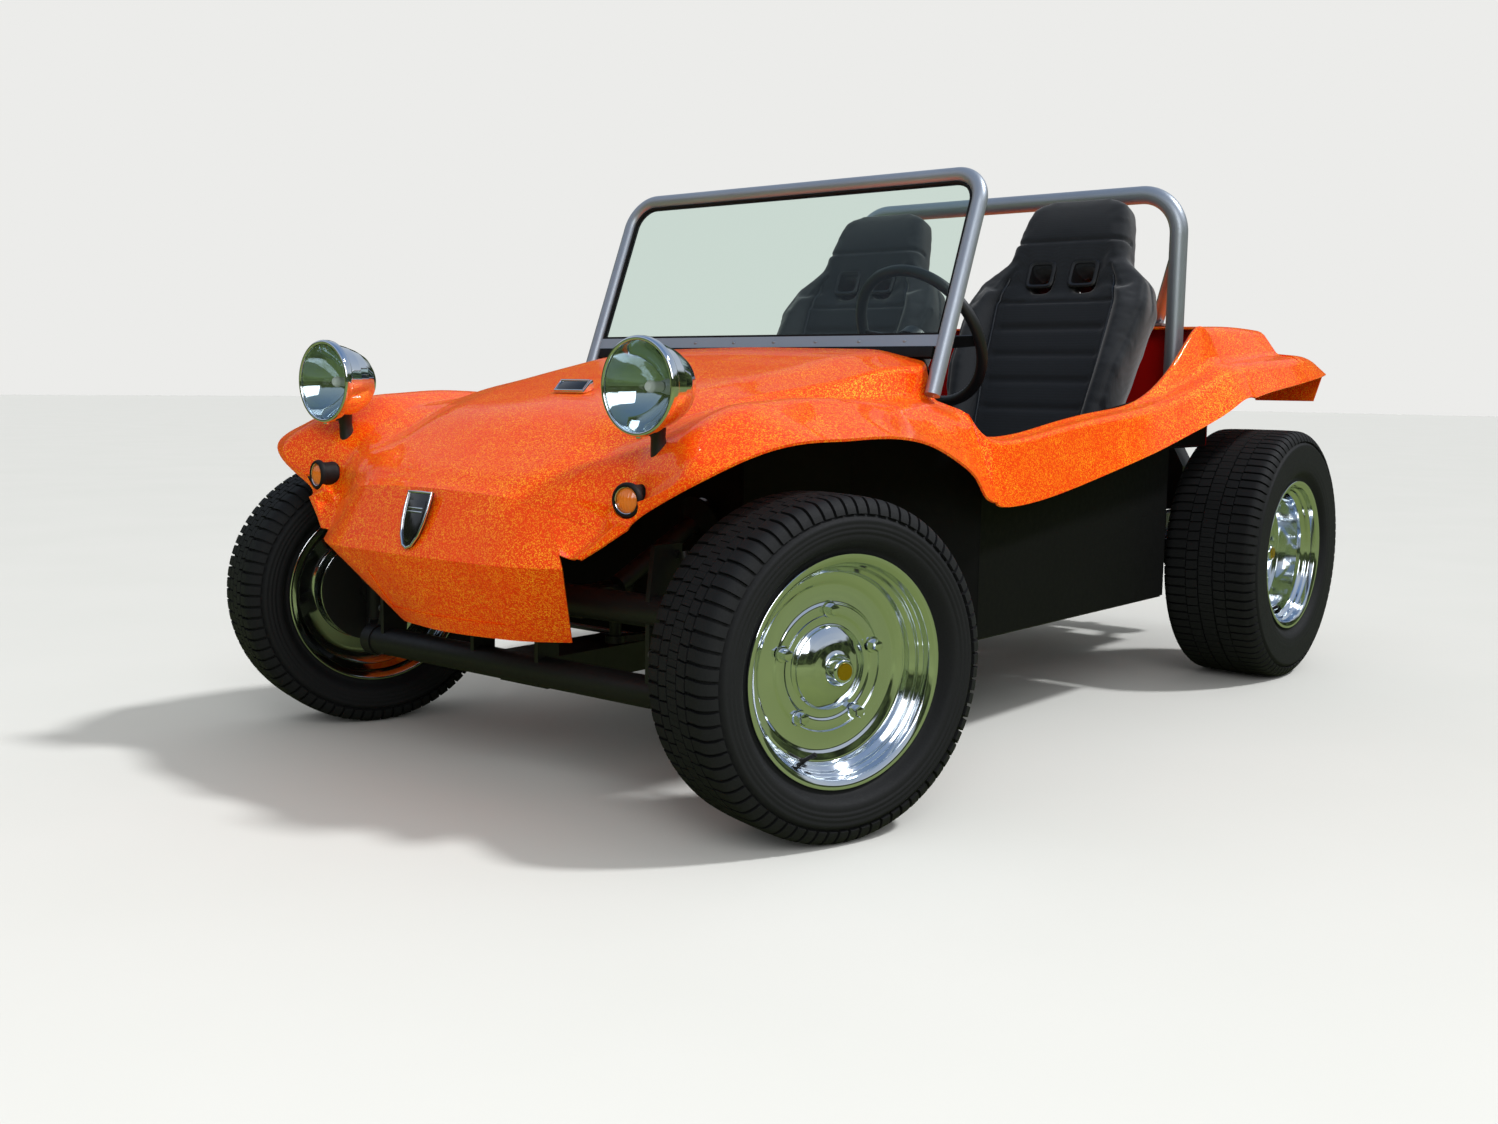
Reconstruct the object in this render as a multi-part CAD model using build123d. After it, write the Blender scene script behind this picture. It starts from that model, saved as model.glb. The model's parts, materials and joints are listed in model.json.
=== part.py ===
from build123d import *
import os
from math import atan2, cos, hypot, radians, sin, tan

os.makedirs("parts", exist_ok=True)

# Main sizes of the whole car, in millimetres
wheelbase = 2032.0
front_axle_x = 1131.0
front_tyre_radius = 303.0
rear_tyre_radius = 343.0
skin = 5.0
panel_gap = 0.4

# Wheels and steering
kingpin_y = 618.5
rest_steer = -16.6
front_tyre_width = 205.0
front_rim_width = 165.0
front_rim_outer_from_kingpin = 143.5
rear_tyre_width = 255.0
rear_rim_width = 230.0
rear_rim_outer_y = 789.0
rim_flange_radius = 205.0
steer_arm_length = 120.0
pitman_y = 160.0
tie_rod_z = 285.0
running_clearance = 0.05

# Roll bar, windshield and seats
tube_radius = 24.0
roll_bar_half_width = 523.0
roll_bar_behind_seat = 435.0
roll_bar_top_z = 1317.0
roll_bar_bend = 110.0
shelf_z = 640.0
screen_tube_radius = 17.0
screen_half_width = 518.0
screen_base_x = -576.0
screen_base_z = 773.0
screen_top_x = -767.0
screen_top_z = 1251.0
seat_y = 317.0
seat_ahead_of_axle = 697.0
seat_base_z = 430.0
seat_rake = 22.0

# Headlamps
lamp_x = 245.0
lamp_y = 451.0
lamp_z = 784.0
lamp_radius = 86.0
lamp_depth = 118.0

# Steering wheel and column
wheel_centre = (-865.0, 297.0, 905.0)
column_foot = (25.0, 190.0, 398.0)
steering_wheel_radius = 170.0
column_radius = 19.0

# Floor and tub
floor_z = 255.0
floor_thick = 4.0
tub_wall_y = 598.4
wall = 4.0
bulkhead_behind_seat = 265.0

axle_z = front_tyre_radius
rear_x = -wheelbase
seat_base_x = rear_x + seat_ahead_of_axle
roll_bar_x = seat_base_x - roll_bar_behind_seat
bulkhead_x = seat_base_x - bulkhead_behind_seat


def save(name, shape):
    moved = shape.moved(Location((front_axle_x, 0, 0)))
    export_step(moved, "parts/" + name + ".step")


def mirrored(shape):
    return mirror(shape, about=Plane.XZ)


def both(shape):
    return Compound([shape, mirrored(shape)])


def radial_plane(angle):
    c, s = cos(radians(angle)), sin(radians(angle))
    return lambda u, v: Vector(c * v, u, axle_z + s * v)


def cross_plane(x):
    return lambda u, v: Vector(x, u, v)


def placed(kind, value):
    return radial_plane(value) if kind == "angle" else cross_plane(value)


# A closed thin outline: a path with rounded corners and the same path set in by the skin
def thin_wire(points, radii, thick, place):
    count = len(points)
    runs = []
    for i in range(count - 1):
        du = points[i + 1][0] - points[i][0]
        dv = points[i + 1][1] - points[i][1]
        size = hypot(du, dv)
        runs.append((du / size, dv / size, size))
    first = (points[0], (runs[0][1], -runs[0][0]))
    last = (points[-1], (runs[-1][1], -runs[-1][0]))
    marks = [[first]]
    for i in range(1, count - 1):
        ax, ay, al = runs[i - 1]
        bx, by, bl = runs[i]
        turn = atan2(ax * by - ay * bx, ax * bx + ay * by)
        half = abs(turn) / 2
        reach = min(radii[i - 1] * tan(half), 0.46 * min(al, bl))
        radius = reach / tan(half)
        side = 1.0 if turn > 0 else -1.0
        p = points[i]
        start = (p[0] - ax * reach, p[1] - ay * reach)
        end = (p[0] + bx * reach, p[1] + by * reach)
        mx, my = ax + bx, ay + by
        msize = hypot(mx, my)
        mx, my = mx / msize, my / msize
        out = radius / cos(half) - radius
        mid = (p[0] - my * side * out, p[1] + mx * side * out)
        marks.append([(start, (ay, -ax)), (mid, (my, -mx)), (end, (by, -bx))])
    marks.append([last])

    def path(shift):
        spots = [[place(p[0] + n[0] * shift, p[1] + n[1] * shift) for p, n in group] for group in marks]
        edges = []
        here = spots[0][0]
        for group in spots[1:-1]:
            edges.append(Edge.make_line(here, group[0]))
            edges.append(Edge.make_three_point_arc(group[0], group[1], group[2]))
            here = group[2]
        edges.append(Edge.make_line(here, spots[-1][0]))
        return edges, spots[0][0], spots[-1][0]

    outer, outer_start, outer_end = path(0.0)
    inner, inner_start, inner_end = path(thick)
    closing = [Edge.make_line(outer_end, inner_end)] + inner[::-1]
    closing.append(Edge.make_line(inner_start, outer_start))
    return Wire(outer + closing)


def loft_wires(wires, ruled=False):
    return Solid.make_loft(wires, ruled)


def bar(start, end, radius):
    a, b = Vector(*start), Vector(*end)
    d = b - a
    return Solid.make_cylinder(radius, d.length, Plane(origin=a, z_dir=d))


def slab(points, thick, direction):
    face = Face(Wire.make_polygon([Vector(*p) for p in points], close=True))
    return Solid.extrude(face, Vector(*direction) * thick)


def box(x0, x1, y0, y1, z0, z1):
    return Solid.make_box(x1 - x0, y1 - y0, z1 - z0, Plane(origin=(x0, y0, z0)))


def turned(points, origin, axis, side):
    plane = Plane(origin=origin, x_dir=side, z_dir=Vector(*side).cross(Vector(*axis)))
    outline = [plane.from_local_coords(Vector(r, a, 0)) for a, r in points]
    face = Face(Wire.make_polygon(outline, close=True))
    return Solid.revolve(face, 360, Axis(origin, axis))


# Front body: centre height, hood edge, valley, fender crest and lip of each section
front_sections = [
    # plane, at, centre v, shoulder u v, edge u v, valley u v, crest u v, lip u v,
    # radii of edge, valley and crest
    ("angle", 41.0, 441, 215, 430, 291, 399, 388, 346, 440, 377, 462, 368, 20, 18, 14),
    ("angle", 47.0, 431, 222, 424, 300, 406, 405, 352, 497, 402, 522, 392, 22, 25, 20),
    ("angle", 54.0, 424, 230, 419, 315, 409, 415, 378, 575, 434, 622, 420, 30, 40, 40),
    ("angle", 62.0, 425, 235, 417, 322, 405, 405, 404, 545, 447, 657, 417, 40, 60, 90),
    ("angle", 72.0, 437, 240, 426, 328, 404, 408, 418, 535, 457, 682, 408, 40, 60, 110),
    ("angle", 81.0, 447, 250, 437, 342, 413, 418, 428, 528, 463, 700, 400, 40, 60, 120),
    ("x", 0.0, 763, 265, 753, 362, 733, 432, 737, 525, 768, 708, 699, 40, 60, 120),
    ("x", -100.0, 786, 285, 777, 388, 762, 455, 744, 532, 774, 716, 702, 35, 50, 120),
    ("x", -250.0, 814, 320, 808, 432, 787, 482, 750, 558, 771, 719, 688, 30, 40, 110),
    ("x", -400.0, 842, 345, 836, 460, 812, 497, 757, 580, 763, 701, 646, 26, 35, 100),
    ("x", -500.0, 860, 355, 854, 474, 829, 500, 762, 590, 753, 683, 604, 22, 30, 80),
    ("x", -600.0, 877, 362, 870, 484, 843, 503, 765, 593, 738, 668, 556, 20, 30, 50),
]
crown_radius = 4000.0
shoulder_radius = 300.0


def front_wire(row):
    kind, value, cv, su, sv, eu, ev, vu, vv, ku, kv, lu, lv, re, rv, rk = row
    left = [(su, sv), (eu, ev), (vu, vv), (ku, kv), (lu, lv)]
    right = [(-u, v) for u, v in left[::-1]]
    radii = [rk, rv, re, shoulder_radius, crown_radius, shoulder_radius, re, rv, rk]
    return thin_wire(right + [(0.0, cv)] + left, radii, skin, placed(kind, value))


front_shell = loft_wires([front_wire(row) for row in front_sections])

# The hood is the middle of that shell, cut free along its edges
hood_plan = [(340, 285), (294, 291), (232, 316), (60, 338), (0, 362), (-100, 388), (-250, 432), (-400, 460),
             (-601, 484), (-640, 484)]


def plan_prism(points, grow, z0, z1):
    left = [(x, y + grow) for x, y in points]
    right = [(x, -y) for x, y in left[::-1]]
    outline = [Vector(x, y, z0) for x, y in left + right]
    face = Face(Wire.make_polygon(outline, close=True))
    return Solid.extrude(face, Vector(0, 0, z1 - z0))


hood_side = [Vector(x, y - panel_gap / 2, 400) for x, y in hood_plan]
far_corners = [Vector(-660, 484, 400), Vector(-660, 900, 400), Vector(420, 900, 400)]
outside_loop = [Vector(420, 285, 400)] + hood_side + far_corners
outside = Solid.extrude(Face(Wire.make_polygon(outside_loop, close=True)), Vector(0, 0, 600))
hood = front_shell - outside - mirrored(outside)
fenders = front_shell - plan_prism(hood_plan, panel_gap / 2, 400, 1000)

# Nose band, lower panel and the hollows beside them for the turn signals
nose_sections = [
    # height, centre x, shoulder y x, edge y x
    (469.0, 388, 262, 376, 348, 322),
    (314.0, 296, 180, 262, 252, 206),
]
hollow_sections = [
    # angle, edge u v, valley u v, crest u v, lip u v
    (40.95, 289, 398.6, 388, 346, 440, 377, 462, 368),
    (35.0, 315, 379, 367, 346, 398, 364, 411, 359),
    (31.0, 331, 369, 350, 352, 367, 362, 379, 358),
]


def nose_wire(place, cv, su, sv, eu, ev):
    spots = [(-eu, ev), (-su, sv), (0.0, cv), (su, sv), (eu, ev)]
    return thin_wire(spots, [shoulder_radius, crown_radius, shoulder_radius], skin, place)


def level_plane(z):
    return lambda u, v: Vector(v, u, z)


nose_wires = [nose_wire(radial_plane(40.95), *front_sections[0][2:7])]
nose_wires += [nose_wire(level_plane(row[0]), *row[1:]) for row in nose_sections]
nose = loft_wires(nose_wires, ruled=True)
hollow_wires = []
for angle, eu, ev, vu, vv, ku, kv, lu, lv in hollow_sections:
    spots = [(eu, ev), (vu, vv), (ku, kv), (lu, lv)]
    hollow_wires.append(thin_wire(spots, [18, 14], skin, radial_plane(angle)))
hollow = loft_wires(hollow_wires, ruled=True)
nose = nose + hollow + mirrored(hollow)

# Shallow recess for a plate in the lower panel
recess_half = 168.0
recess_low_z = 346.0
recess_top_z = 424.0
recess_deep = 2.4
recess_room = box(200, 420, -recess_half, recess_half, recess_low_z, recess_top_z)
nose = nose - ((nose & recess_room) - nose.moved(Location((-recess_deep, 0, 0))))

# Body sides: inner flange, cockpit edge, dish, shoulder and lip of each section
side_sections = [
    # x, flange u v, edge u v, dish u v, shoulder u v, lip u v
    (-600.4, 556, 712, 560, 742, 574, 738, 594, 737, 668, 556),
    (-640.0, 589, 664, 592, 694, 610, 687, 632, 684, 667, 544),
    (-700.0, 600, 661, 600, 691, 618, 683, 640, 680, 666, 544),
    (-900.0, 600, 684, 600, 713, 620, 704, 644, 701, 667, 564),
    (-1150.0, 600, 712, 600, 742, 622, 732, 649, 728, 679, 608),
    (rear_x + 682, 600, 736, 600, 766, 626, 754, 658, 749, 698, 652),
    (rear_x + 571, 600, 770, 600, 804, 630, 776, 668, 768, 709, 681),
    (rear_x + 472, 600, 815, 600, 862, 636, 802, 680, 792, 721, 708),
    (rear_x + 360, 600, 890, 600, 950, 642, 842, 692, 828, 738, 748),
    (rear_x + 232, 600, 900, 600, 960, 646, 868, 702, 853, 746, 775),
]
side_wires = []
for x, pu, pv, eu, ev, vu, vv, ku, kv, lu, lv in side_sections:
    spots = [(pu, pv), (eu, ev), (vu, vv), (ku, kv), (lu, lv)]
    side_wires.append(thin_wire(spots, [12, 30, 45], skin, cross_plane(x)))
side_left = loft_wires(side_wires)

# Rear deck with its fenders, and the two tails beside the engine
rear_sections = [
    # x, centre v, edge u v, valley u v, crest u v, lip u v
    (rear_x + 231.6, 968, 600, 960, 646, 868, 702, 853, 746, 775),
    (rear_x + 82, 976, 600, 968, 650, 882, 712, 869, 751, 797),
    (rear_x - 48, 977, 600, 969, 652, 889, 712, 879, 752, 811),
    (rear_x - 168, 975, 598, 967, 650, 895, 706, 889, 744, 823),
]
tail_sections = [
    # x, flange u v, edge u v, crest u v, lip u v
    (rear_x - 174.4, 430, 885, 430, 920, 702, 893, 744, 823),
    (rear_x - 288, 440, 882, 440, 916, 693, 893, 735, 835),
    (rear_x - 408, 475, 868, 475, 900, 672, 880, 712, 845),
]
rear_wires = []
for x, cv, eu, ev, vu, vv, ku, kv, lu, lv in rear_sections:
    left = [(eu, ev), (vu, vv), (ku, kv), (lu, lv)]
    right = [(-u, v) for u, v in left[::-1]]
    radii = [45, 35, 40, crown_radius, 40, 35, 45]
    rear_wires.append(thin_wire(right + [(0.0, cv)] + left, radii, skin, cross_plane(x)))
body_rear = loft_wires(rear_wires)
tail_wires = []
for x, pu, pv, eu, ev, ku, kv, lu, lv in tail_sections:
    tail_wires.append(thin_wire([(pu, pv), (eu, ev), (ku, kv), (lu, lv)], [25, 45], skin, cross_plane(x)))
tail = loft_wires(tail_wires)
# The deck's end drops to the tails
drop = box(rear_x - 174, rear_x - 168, -598, 598, 905, 962)
tails = both(tail)

# Turn signals sit in holes of the hollows; the headlamps' feet end on the fenders
signal_x = 263.0
signal_y = 448.0
signal_z = 591.0
signal_hole = bar((signal_x - 60, signal_y, signal_z), (signal_x + 30, signal_y, signal_z), 26.4)
ring_seat = bar((signal_x - 6.3, signal_y, signal_z), (signal_x + 40, signal_y, signal_z), 31.4)
fenders = fenders - (signal_hole + ring_seat) - mirrored(signal_hole + ring_seat)
nose = nose - (signal_hole + ring_seat) - mirrored(signal_hole + ring_seat)
foot = bar((lamp_x - 50, lamp_y, lamp_z - 66), (lamp_x - 58, lamp_y, lamp_z - 150), 17)
foot = foot - fenders.moved(Location((0, 0, 0.4)))
foot = foot.solids().sort_by(Axis.Z)[-1]

save("hood", hood)
save("body_front", fenders)
save("nose", nose)
save("body_side_left", side_left)
save("body_side_right", mirrored(side_left))
save("body_rear", body_rear + drop)
save("body_tails", tails)

# Black tub under the body, with its front footwell and rear shelf
tub_plan = [
    # x, y, top z of the wall at each corner
    (bulkhead_x, tub_wall_y, 790.0),
    (-720.0, tub_wall_y, 680.0),
    (-700.0, tub_wall_y, 652.0),
    (-655.0, tub_wall_y, 652.0),
    (-440.0, 410.0, 740.0),
    (-190.0, 330.0, 735.0),
]
tub_rear_x = roll_bar_x - 80


def wall_panel(a, b, inward):
    points = [(a[0], a[1], floor_z), (b[0], b[1], floor_z), (b[0], b[1], b[2]), (a[0], a[1], a[2])]
    dx, dy = b[0] - a[0], b[1] - a[1]
    size = hypot(dx, dy)
    return slab(points, wall, (dy / size * inward, -dx / size * inward, 0))


panels = [wall_panel(tub_plan[i], tub_plan[i + 1], 1) for i in range(len(tub_plan) - 1)]
firewall = box(-194, -190, -330, 330, floor_z, 735)
for x, y, top_z in tub_plan[1:]:
    corner = Plane(origin=(x, y - wall / 2, floor_z))
    panels[-1] = panels[-1] + Solid.make_cylinder(wall / 2, top_z - floor_z, corner)
bulkhead = box(bulkhead_x, bulkhead_x + wall, -tub_wall_y, tub_wall_y, floor_z, shelf_z)
shelf = box(tub_rear_x, bulkhead_x + wall, -tub_wall_y, tub_wall_y, shelf_z, shelf_z + wall)
rear_wall = box(tub_rear_x - wall, tub_rear_x, -594, 594, shelf_z, 945)
column_hole = bar(wheel_centre, column_foot, 34)
tub = panels[0]
for panel in panels[1:]:
    tub = tub + panel
tub = tub + mirrored(tub) + (firewall - column_hole) + bulkhead + shelf + rear_wall
save("tub", tub)

# Floor pan with its tunnel, frame head and rear fork
floor_edge_y = tub_wall_y - wall - 0.4
floor_half_plan = [(bulkhead_x + wall, floor_edge_y), (-657, floor_edge_y), (-443, 404), (-194, 325)]
floor_plan = floor_half_plan + [(x, -y) for x, y in floor_half_plan[::-1]]
floor_face = Face(Wire.make_polygon([Vector(x, y, floor_z - floor_thick) for x, y in floor_plan], close=True))
floor = Solid.extrude(floor_face, Vector(0, 0, floor_thick))
tunnel = box(bulkhead_x + 8, -200, -60, 60, floor_z, floor_z + 165)
tunnel = tunnel.fillet(30, tunnel.edges().filter_by(Axis.X).sort_by(Axis.Z)[-2:])
head_low_z = floor_z - 70
frame_head = box(-200, 99.6, -70, 70, head_low_z, floor_z - 8)
head_web = box(-330, -185, -70, 70, head_low_z, floor_z - floor_thick)
fork_z = 215.0
fork_front_x = bulkhead_x + 60
fork_rear_x = rear_x - 148
fork_plan = [
    # x, y
    (fork_front_x, 60), (fork_front_x, 130), (rear_x - 88, 330), (fork_rear_x, 330), (fork_rear_x, 262),
]
fork_left = slab([(x, y, fork_z) for x, y in fork_plan], 36, (0, 0, 1))
cradle_x = rear_x + 332
nose_radius = 66.0
cradle_top = rear_tyre_radius - nose_radius - 0.3
cradle_share = (fork_front_x - cradle_x) / (fork_front_x - fork_rear_x)
cradle_half = 60 + 202 * cradle_share + 1.5
cradle = box(cradle_x, cradle_x + 40, -cradle_half, cradle_half, fork_z, fork_z + 36)
cradle = cradle + box(cradle_x, cradle_x + 40, -40, 40, fork_z + 36, cradle_top)
floor_pan = floor + tunnel + frame_head + head_web + fork_left + mirrored(fork_left) + cradle
save("floor_pan", floor_pan)

# Red lining inside the cockpit
lining_y = tub_wall_y - wall - 0.3
lining_low = floor_z + 0.3
lining_shelf = shelf_z + wall + 0.3
lining_outline = [
    # x, z
    (bulkhead_x + 8, lining_low), (-700, lining_low), (-700, 676), (-900, 690), (-1150, 718),
    (rear_x + 682, 742), (rear_x + 571, 776), (rear_x + 472, 826), (rear_x + 360, 900),
    (tub_rear_x + 3, 915), (tub_rear_x + 3, lining_shelf), (bulkhead_x + 8, lining_shelf),
]
lining_left = slab([(x, lining_y, z) for x, z in lining_outline], 3, (0, -1, 0))
save("interior_panels", both(lining_left))

# Dashboard under the cowl
dash_x = -640.0
dash_outline = [
    # y, z
    (-470, 610), (470, 610), (478, 826), (0, 862), (-478, 826),
]
dash = slab([(dash_x, y, z) for y, z in dash_outline], 5, (1, 0, 0))
save("dash", dash - column_hole)

# Windshield: bent tube frame, lower strip and glass
screen_lean = atan2(screen_base_x - screen_top_x, screen_top_z - screen_base_z)
screen_up = Vector(-sin(screen_lean), 0, cos(screen_lean))
screen_normal = Vector(0, 1, 0).cross(screen_up)
screen_plane = Plane(origin=(screen_base_x, 0, screen_base_z), x_dir=(0, 1, 0), z_dir=screen_normal)
screen_height = (screen_top_z - screen_base_z) / cos(screen_lean)


def on_screen(y, up):
    return screen_plane.from_local_coords(Vector(y, up, 0))


def hoop(half, bottom, top, bend, radius, spot, bottom_half=None):
    low = half if bottom_half is None else bottom_half
    k = bend * (1 - cos(radians(45)))
    edges = [
        Edge.make_line(spot(-low, bottom), spot(-half, top - bend)),
        Edge.make_three_point_arc(spot(-half, top - bend), spot(-half + k, top - k), spot(-half + bend, top)),
        Edge.make_line(spot(-half + bend, top), spot(half - bend, top)),
        Edge.make_three_point_arc(spot(half - bend, top), spot(half - k, top - k), spot(half, top - bend)),
        Edge.make_line(spot(half, top - bend), spot(low, bottom)),
    ]
    start = spot(-low, bottom)
    direction = spot(-half, top - bend) - start
    profile = Face(Wire(Edge.make_circle(radius, Plane(origin=start, z_dir=direction))))
    return sweep(profile, path=Wire(edges), transition=Transition.ROUND)


screen_frame = hoop(screen_half_width, 0.0, screen_height, 70.0, screen_tube_radius, on_screen)
strip_up = (886.0 - screen_base_z) / cos(screen_lean)
strip = screen_plane * Pos(0, strip_up, 0) * Box(2 * screen_half_width - 2 * screen_tube_radius + 8, 26, 14)
screen_frame = screen_frame + strip
save("windshield_frame", screen_frame)
glass_low = strip_up + 13.3
glass_top = screen_height - screen_tube_radius - 0.3
glass_half = screen_half_width - screen_tube_radius - 0.3
glass = Box(2 * glass_half, glass_top - glass_low, 5)
glass = fillet(glass.edges().filter_by(Axis.Z).sort_by(Axis.Y)[-2:], 70.0 - screen_tube_radius)
save("windshield_glass", screen_plane * Pos(0, (glass_low + glass_top) / 2, 0) * glass)

# Roll bar with its feet on the shelf and two stays down to the rear deck
upright = lambda y, up: Vector(roll_bar_x, y, up)
hoop_foot_z = shelf_z + wall + 0.3
roll_bar = hoop(roll_bar_half_width, hoop_foot_z, roll_bar_top_z, roll_bar_bend, tube_radius, upright)
feet = [box(roll_bar_x - 50, roll_bar_x + 50, y - 45, y + 45, hoop_foot_z, hoop_foot_z + 6)
        for y in (-roll_bar_half_width, roll_bar_half_width)]
roll_bar = roll_bar + feet[0] + feet[1]
stay_radius = 18.0
stay_top_z = 1165.0
stay_foot_x = roll_bar_x - 190
stay_foot_y = 385.0
stay_foot_z = 972.6
for side in (-1, 1):
    stay_top = (roll_bar_x, side * roll_bar_half_width, stay_top_z)
    stay = bar(stay_top, (stay_foot_x - 8, side * (stay_foot_y - 7), stay_foot_z - 10), stay_radius)
    stay = stay - box(stay_foot_x - 80, stay_foot_x + 80, -600, 600, stay_foot_z - 60, stay_foot_z)
    foot_y = sorted((side * (stay_foot_y - 38), side * (stay_foot_y + 38)))
    stay = stay + box(stay_foot_x - 45, stay_foot_x + 45, *foot_y, stay_foot_z, stay_foot_z + 6)
    roll_bar = roll_bar + stay
save("roll_bar", roll_bar)

# Bucket seats: cross sections up the back, then along the cushion
back_sections = [
    # distance up the back, half width, pad thickness, wing height, wing width
    (0.0, 205, 70, 120, 62),
    (180.0, 222, 78, 150, 66),
    (400.0, 246, 82, 158, 72),
    (590.0, 268, 80, 128, 88),
    (665.0, 250, 82, 108, 86),
    (735.0, 180, 88, 96, 52),
    (860.0, 152, 88, 92, 44),
    (900.0, 138, 84, 87, 40),
    (922.0, 96, 74, 76, 30),
]
cushion_sections = [
    # distance forward, half width, height of the pad, wing height, wing width
    (0.0, 222, 110, 150, 62),
    (180.0, 238, 120, 172, 64),
    (360.0, 248, 132, 178, 62),
    (470.0, 246, 128, 148, 60),
    (520.0, 232, 92, 96, 56),
]
rake = radians(seat_rake)
back_up = Vector(-sin(rake), 0, cos(rake))
back_out = Vector(cos(rake), 0, sin(rake))


def seat_wire(origin, out, half, pad, wing, wide):
    base = Vector(*origin)
    right = [(half - 12, 0), (half, 14), (half, wing - 12), (half - 14, wing), (half - wide + 12, wing),
             (half - wide - 14, pad)]
    outline = right + [(-u, v) for u, v in right[::-1]]
    return Wire.make_polygon([base + Vector(0, 1, 0) * u + out * v for u, v in outline], close=True)


back_wires = []
for s, half, pad, wing, wide in back_sections:
    o = Vector(seat_base_x, seat_y, seat_base_z) + back_up * s
    back_wires.append(seat_wire(o, back_out, half, pad, wing, wide))
seat_back = loft_wires(back_wires, ruled=True)
for y in (-62.0, 62.0):
    o = Vector(seat_base_x, seat_y + y, seat_base_z) + back_up * 680
    plane = Plane(origin=o, x_dir=(0, 1, 0), z_dir=back_out)
    seat_back = seat_back - (plane * Pos(0, 0, 40) * Box(66, 62, 160))
cushion_foot_z = 345.0
cushion_wires = []
for s, half, pad, wing, wide in cushion_sections:
    o = Vector(seat_base_x - 55 + s, seat_y, cushion_foot_z)
    cushion_wires.append(seat_wire(o, Vector(0, 0, 1), half, pad, wing, wide))
cushion = loft_wires(cushion_wires, ruled=True)
seat_left = seat_back + cushion
for y in (seat_y - 150, seat_y + 150):
    rail = box(seat_base_x - 20, seat_base_x + 440, y - 14, y + 14, floor_z + 0.3, cushion_foot_z + 0.5)
    seat_left = seat_left + rail
save("seat_left", seat_left)
save("seat_right", mirrored(seat_left))


# Headlamps: chrome buckets with a ring, a foot each, and a lens
bucket_profile = [
    # distance along the lamp, radius
    (-lamp_depth, 0.0), (-lamp_depth + 3, 22.0), (-lamp_depth + 16, 42.0), (-78.0, 62.0), (-45.0, 76.0),
    (-14.0, 82.0), (-12.0, lamp_radius), (2.0, lamp_radius), (2.0, 78.0), (-6.0, 77.5), (-6.0, 0.0),
]
bucket = turned(bucket_profile, (lamp_x, lamp_y, lamp_z), (1, 0, 0), (0, 0, 1))
save("headlamps", both(bucket + foot))
lens_profile = [(-5.7, 0.0), (-5.7, 77.0), (1.0, 77.0), (5.0, 60.0), (8.0, 35.0), (9.0, 0.0)]
lens = turned(lens_profile, (lamp_x, lamp_y, lamp_z), (1, 0, 0), (0, 0, 1))
save("headlamp_lenses", both(lens))

# Turn signals in rubber rings, seated in the hollows
signal_profile = [
    # distance along the lamp, radius
    (-40.0, 0.0), (-40.0, 26.0), (-6.0, 26.0), (-6.0, 31.0), (2.0, 31.0), (6.0, 27.0),
    (4.0, 22.0), (0.0, 22.0), (0.0, 0.0),
]
signal_place = (signal_x, signal_y, signal_z)
signal = turned(signal_profile, signal_place, (1, 0, 0), (0, 0, 1))
save("turn_signals", both(signal))
signal_lens_profile = [(0.3, 0.0), (0.3, 21.7), (5.0, 21.0), (9.0, 14.0), (10.5, 0.0)]
signal_lens = turned(signal_lens_profile, signal_place, (1, 0, 0), (0, 0, 1))
save("turn_signal_lenses", both(signal_lens))

# Badge on the nose and small plate on the hood, both blank
badge_tilt = 19.0
badge_out = Vector(cos(radians(badge_tilt)), 0, sin(radians(badge_tilt)))
badge_plane = Plane(origin=(362.2, 0, 533), x_dir=(0, 1, 0), z_dir=badge_out)
badge_outline = [(-26, 48), (26, 48), (24, 0), (19, -30), (8, -47), (0, -51), (-8, -47), (-19, -30), (-24, 0)]
badge_loop = [badge_plane.from_local_coords(Vector(u, v, 0)) for u, v in badge_outline]
badge_face = Face(Wire.make_polygon(badge_loop, close=True))
save("nose_badge", Solid.extrude(badge_face, badge_plane.z_dir * 5))
emblem_plane = Plane(origin=(-40, 0, 774.0), x_dir=(0, 1, 0), z_dir=(0.24, 0, 0.97))
emblem = emblem_plane * Box(104, 34, 6)
save("hood_emblem", emblem)

# Front beam: two cross tubes, end plates and towers
beam_x = 130.0
beam_rise = 75.0
beam_tube_radius = 30.0
beam_half = 425.0
beam_upper_z = axle_z + beam_rise
beam_lower_z = axle_z - beam_rise
beam = bar((beam_x, -beam_half, beam_upper_z), (beam_x, beam_half, beam_upper_z), beam_tube_radius)
beam = beam + bar((beam_x, -beam_half, beam_lower_z), (beam_x, beam_half, beam_lower_z), beam_tube_radius)
tower_top_z = 500.0
tower_y = beam_half - 35
for y in (-95.0, 95.0, -tower_y, tower_y):
    top_z = tower_top_z if abs(y) > 200 else beam_upper_z + 30
    back_x = beam_x - 66 if abs(y) > 200 else beam_x - 34
    outline = [
        # x, z
        (beam_x - 34, beam_lower_z - 24), (beam_x + 22, beam_lower_z - 24), (beam_x + 22, beam_upper_z + 24),
        (beam_x + 8, top_z), (back_x, top_z),
    ]
    beam = beam + slab([(x, y - 5, z) for x, z in outline], 10, (0, 1, 0))
for side in (-1, 1):
    pin_start = (beam_x - 52, side * (tower_y + 4), tower_top_z - 20)
    pin_end = (beam_x - 52, side * (tower_y + 11.4), tower_top_z - 20)
    beam = beam + bar(pin_start, pin_end, 8)
box_bottom_z = 330.0
gear_box = Solid.make_cylinder(36, 68, Plane(origin=(0, pitman_y, box_bottom_z)))
gear_box = gear_box + box(0, beam_x - 10, pitman_y - 30, pitman_y + 30, box_bottom_z + 12, box_bottom_z + 66)
shaft_radius = 12.0
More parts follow.
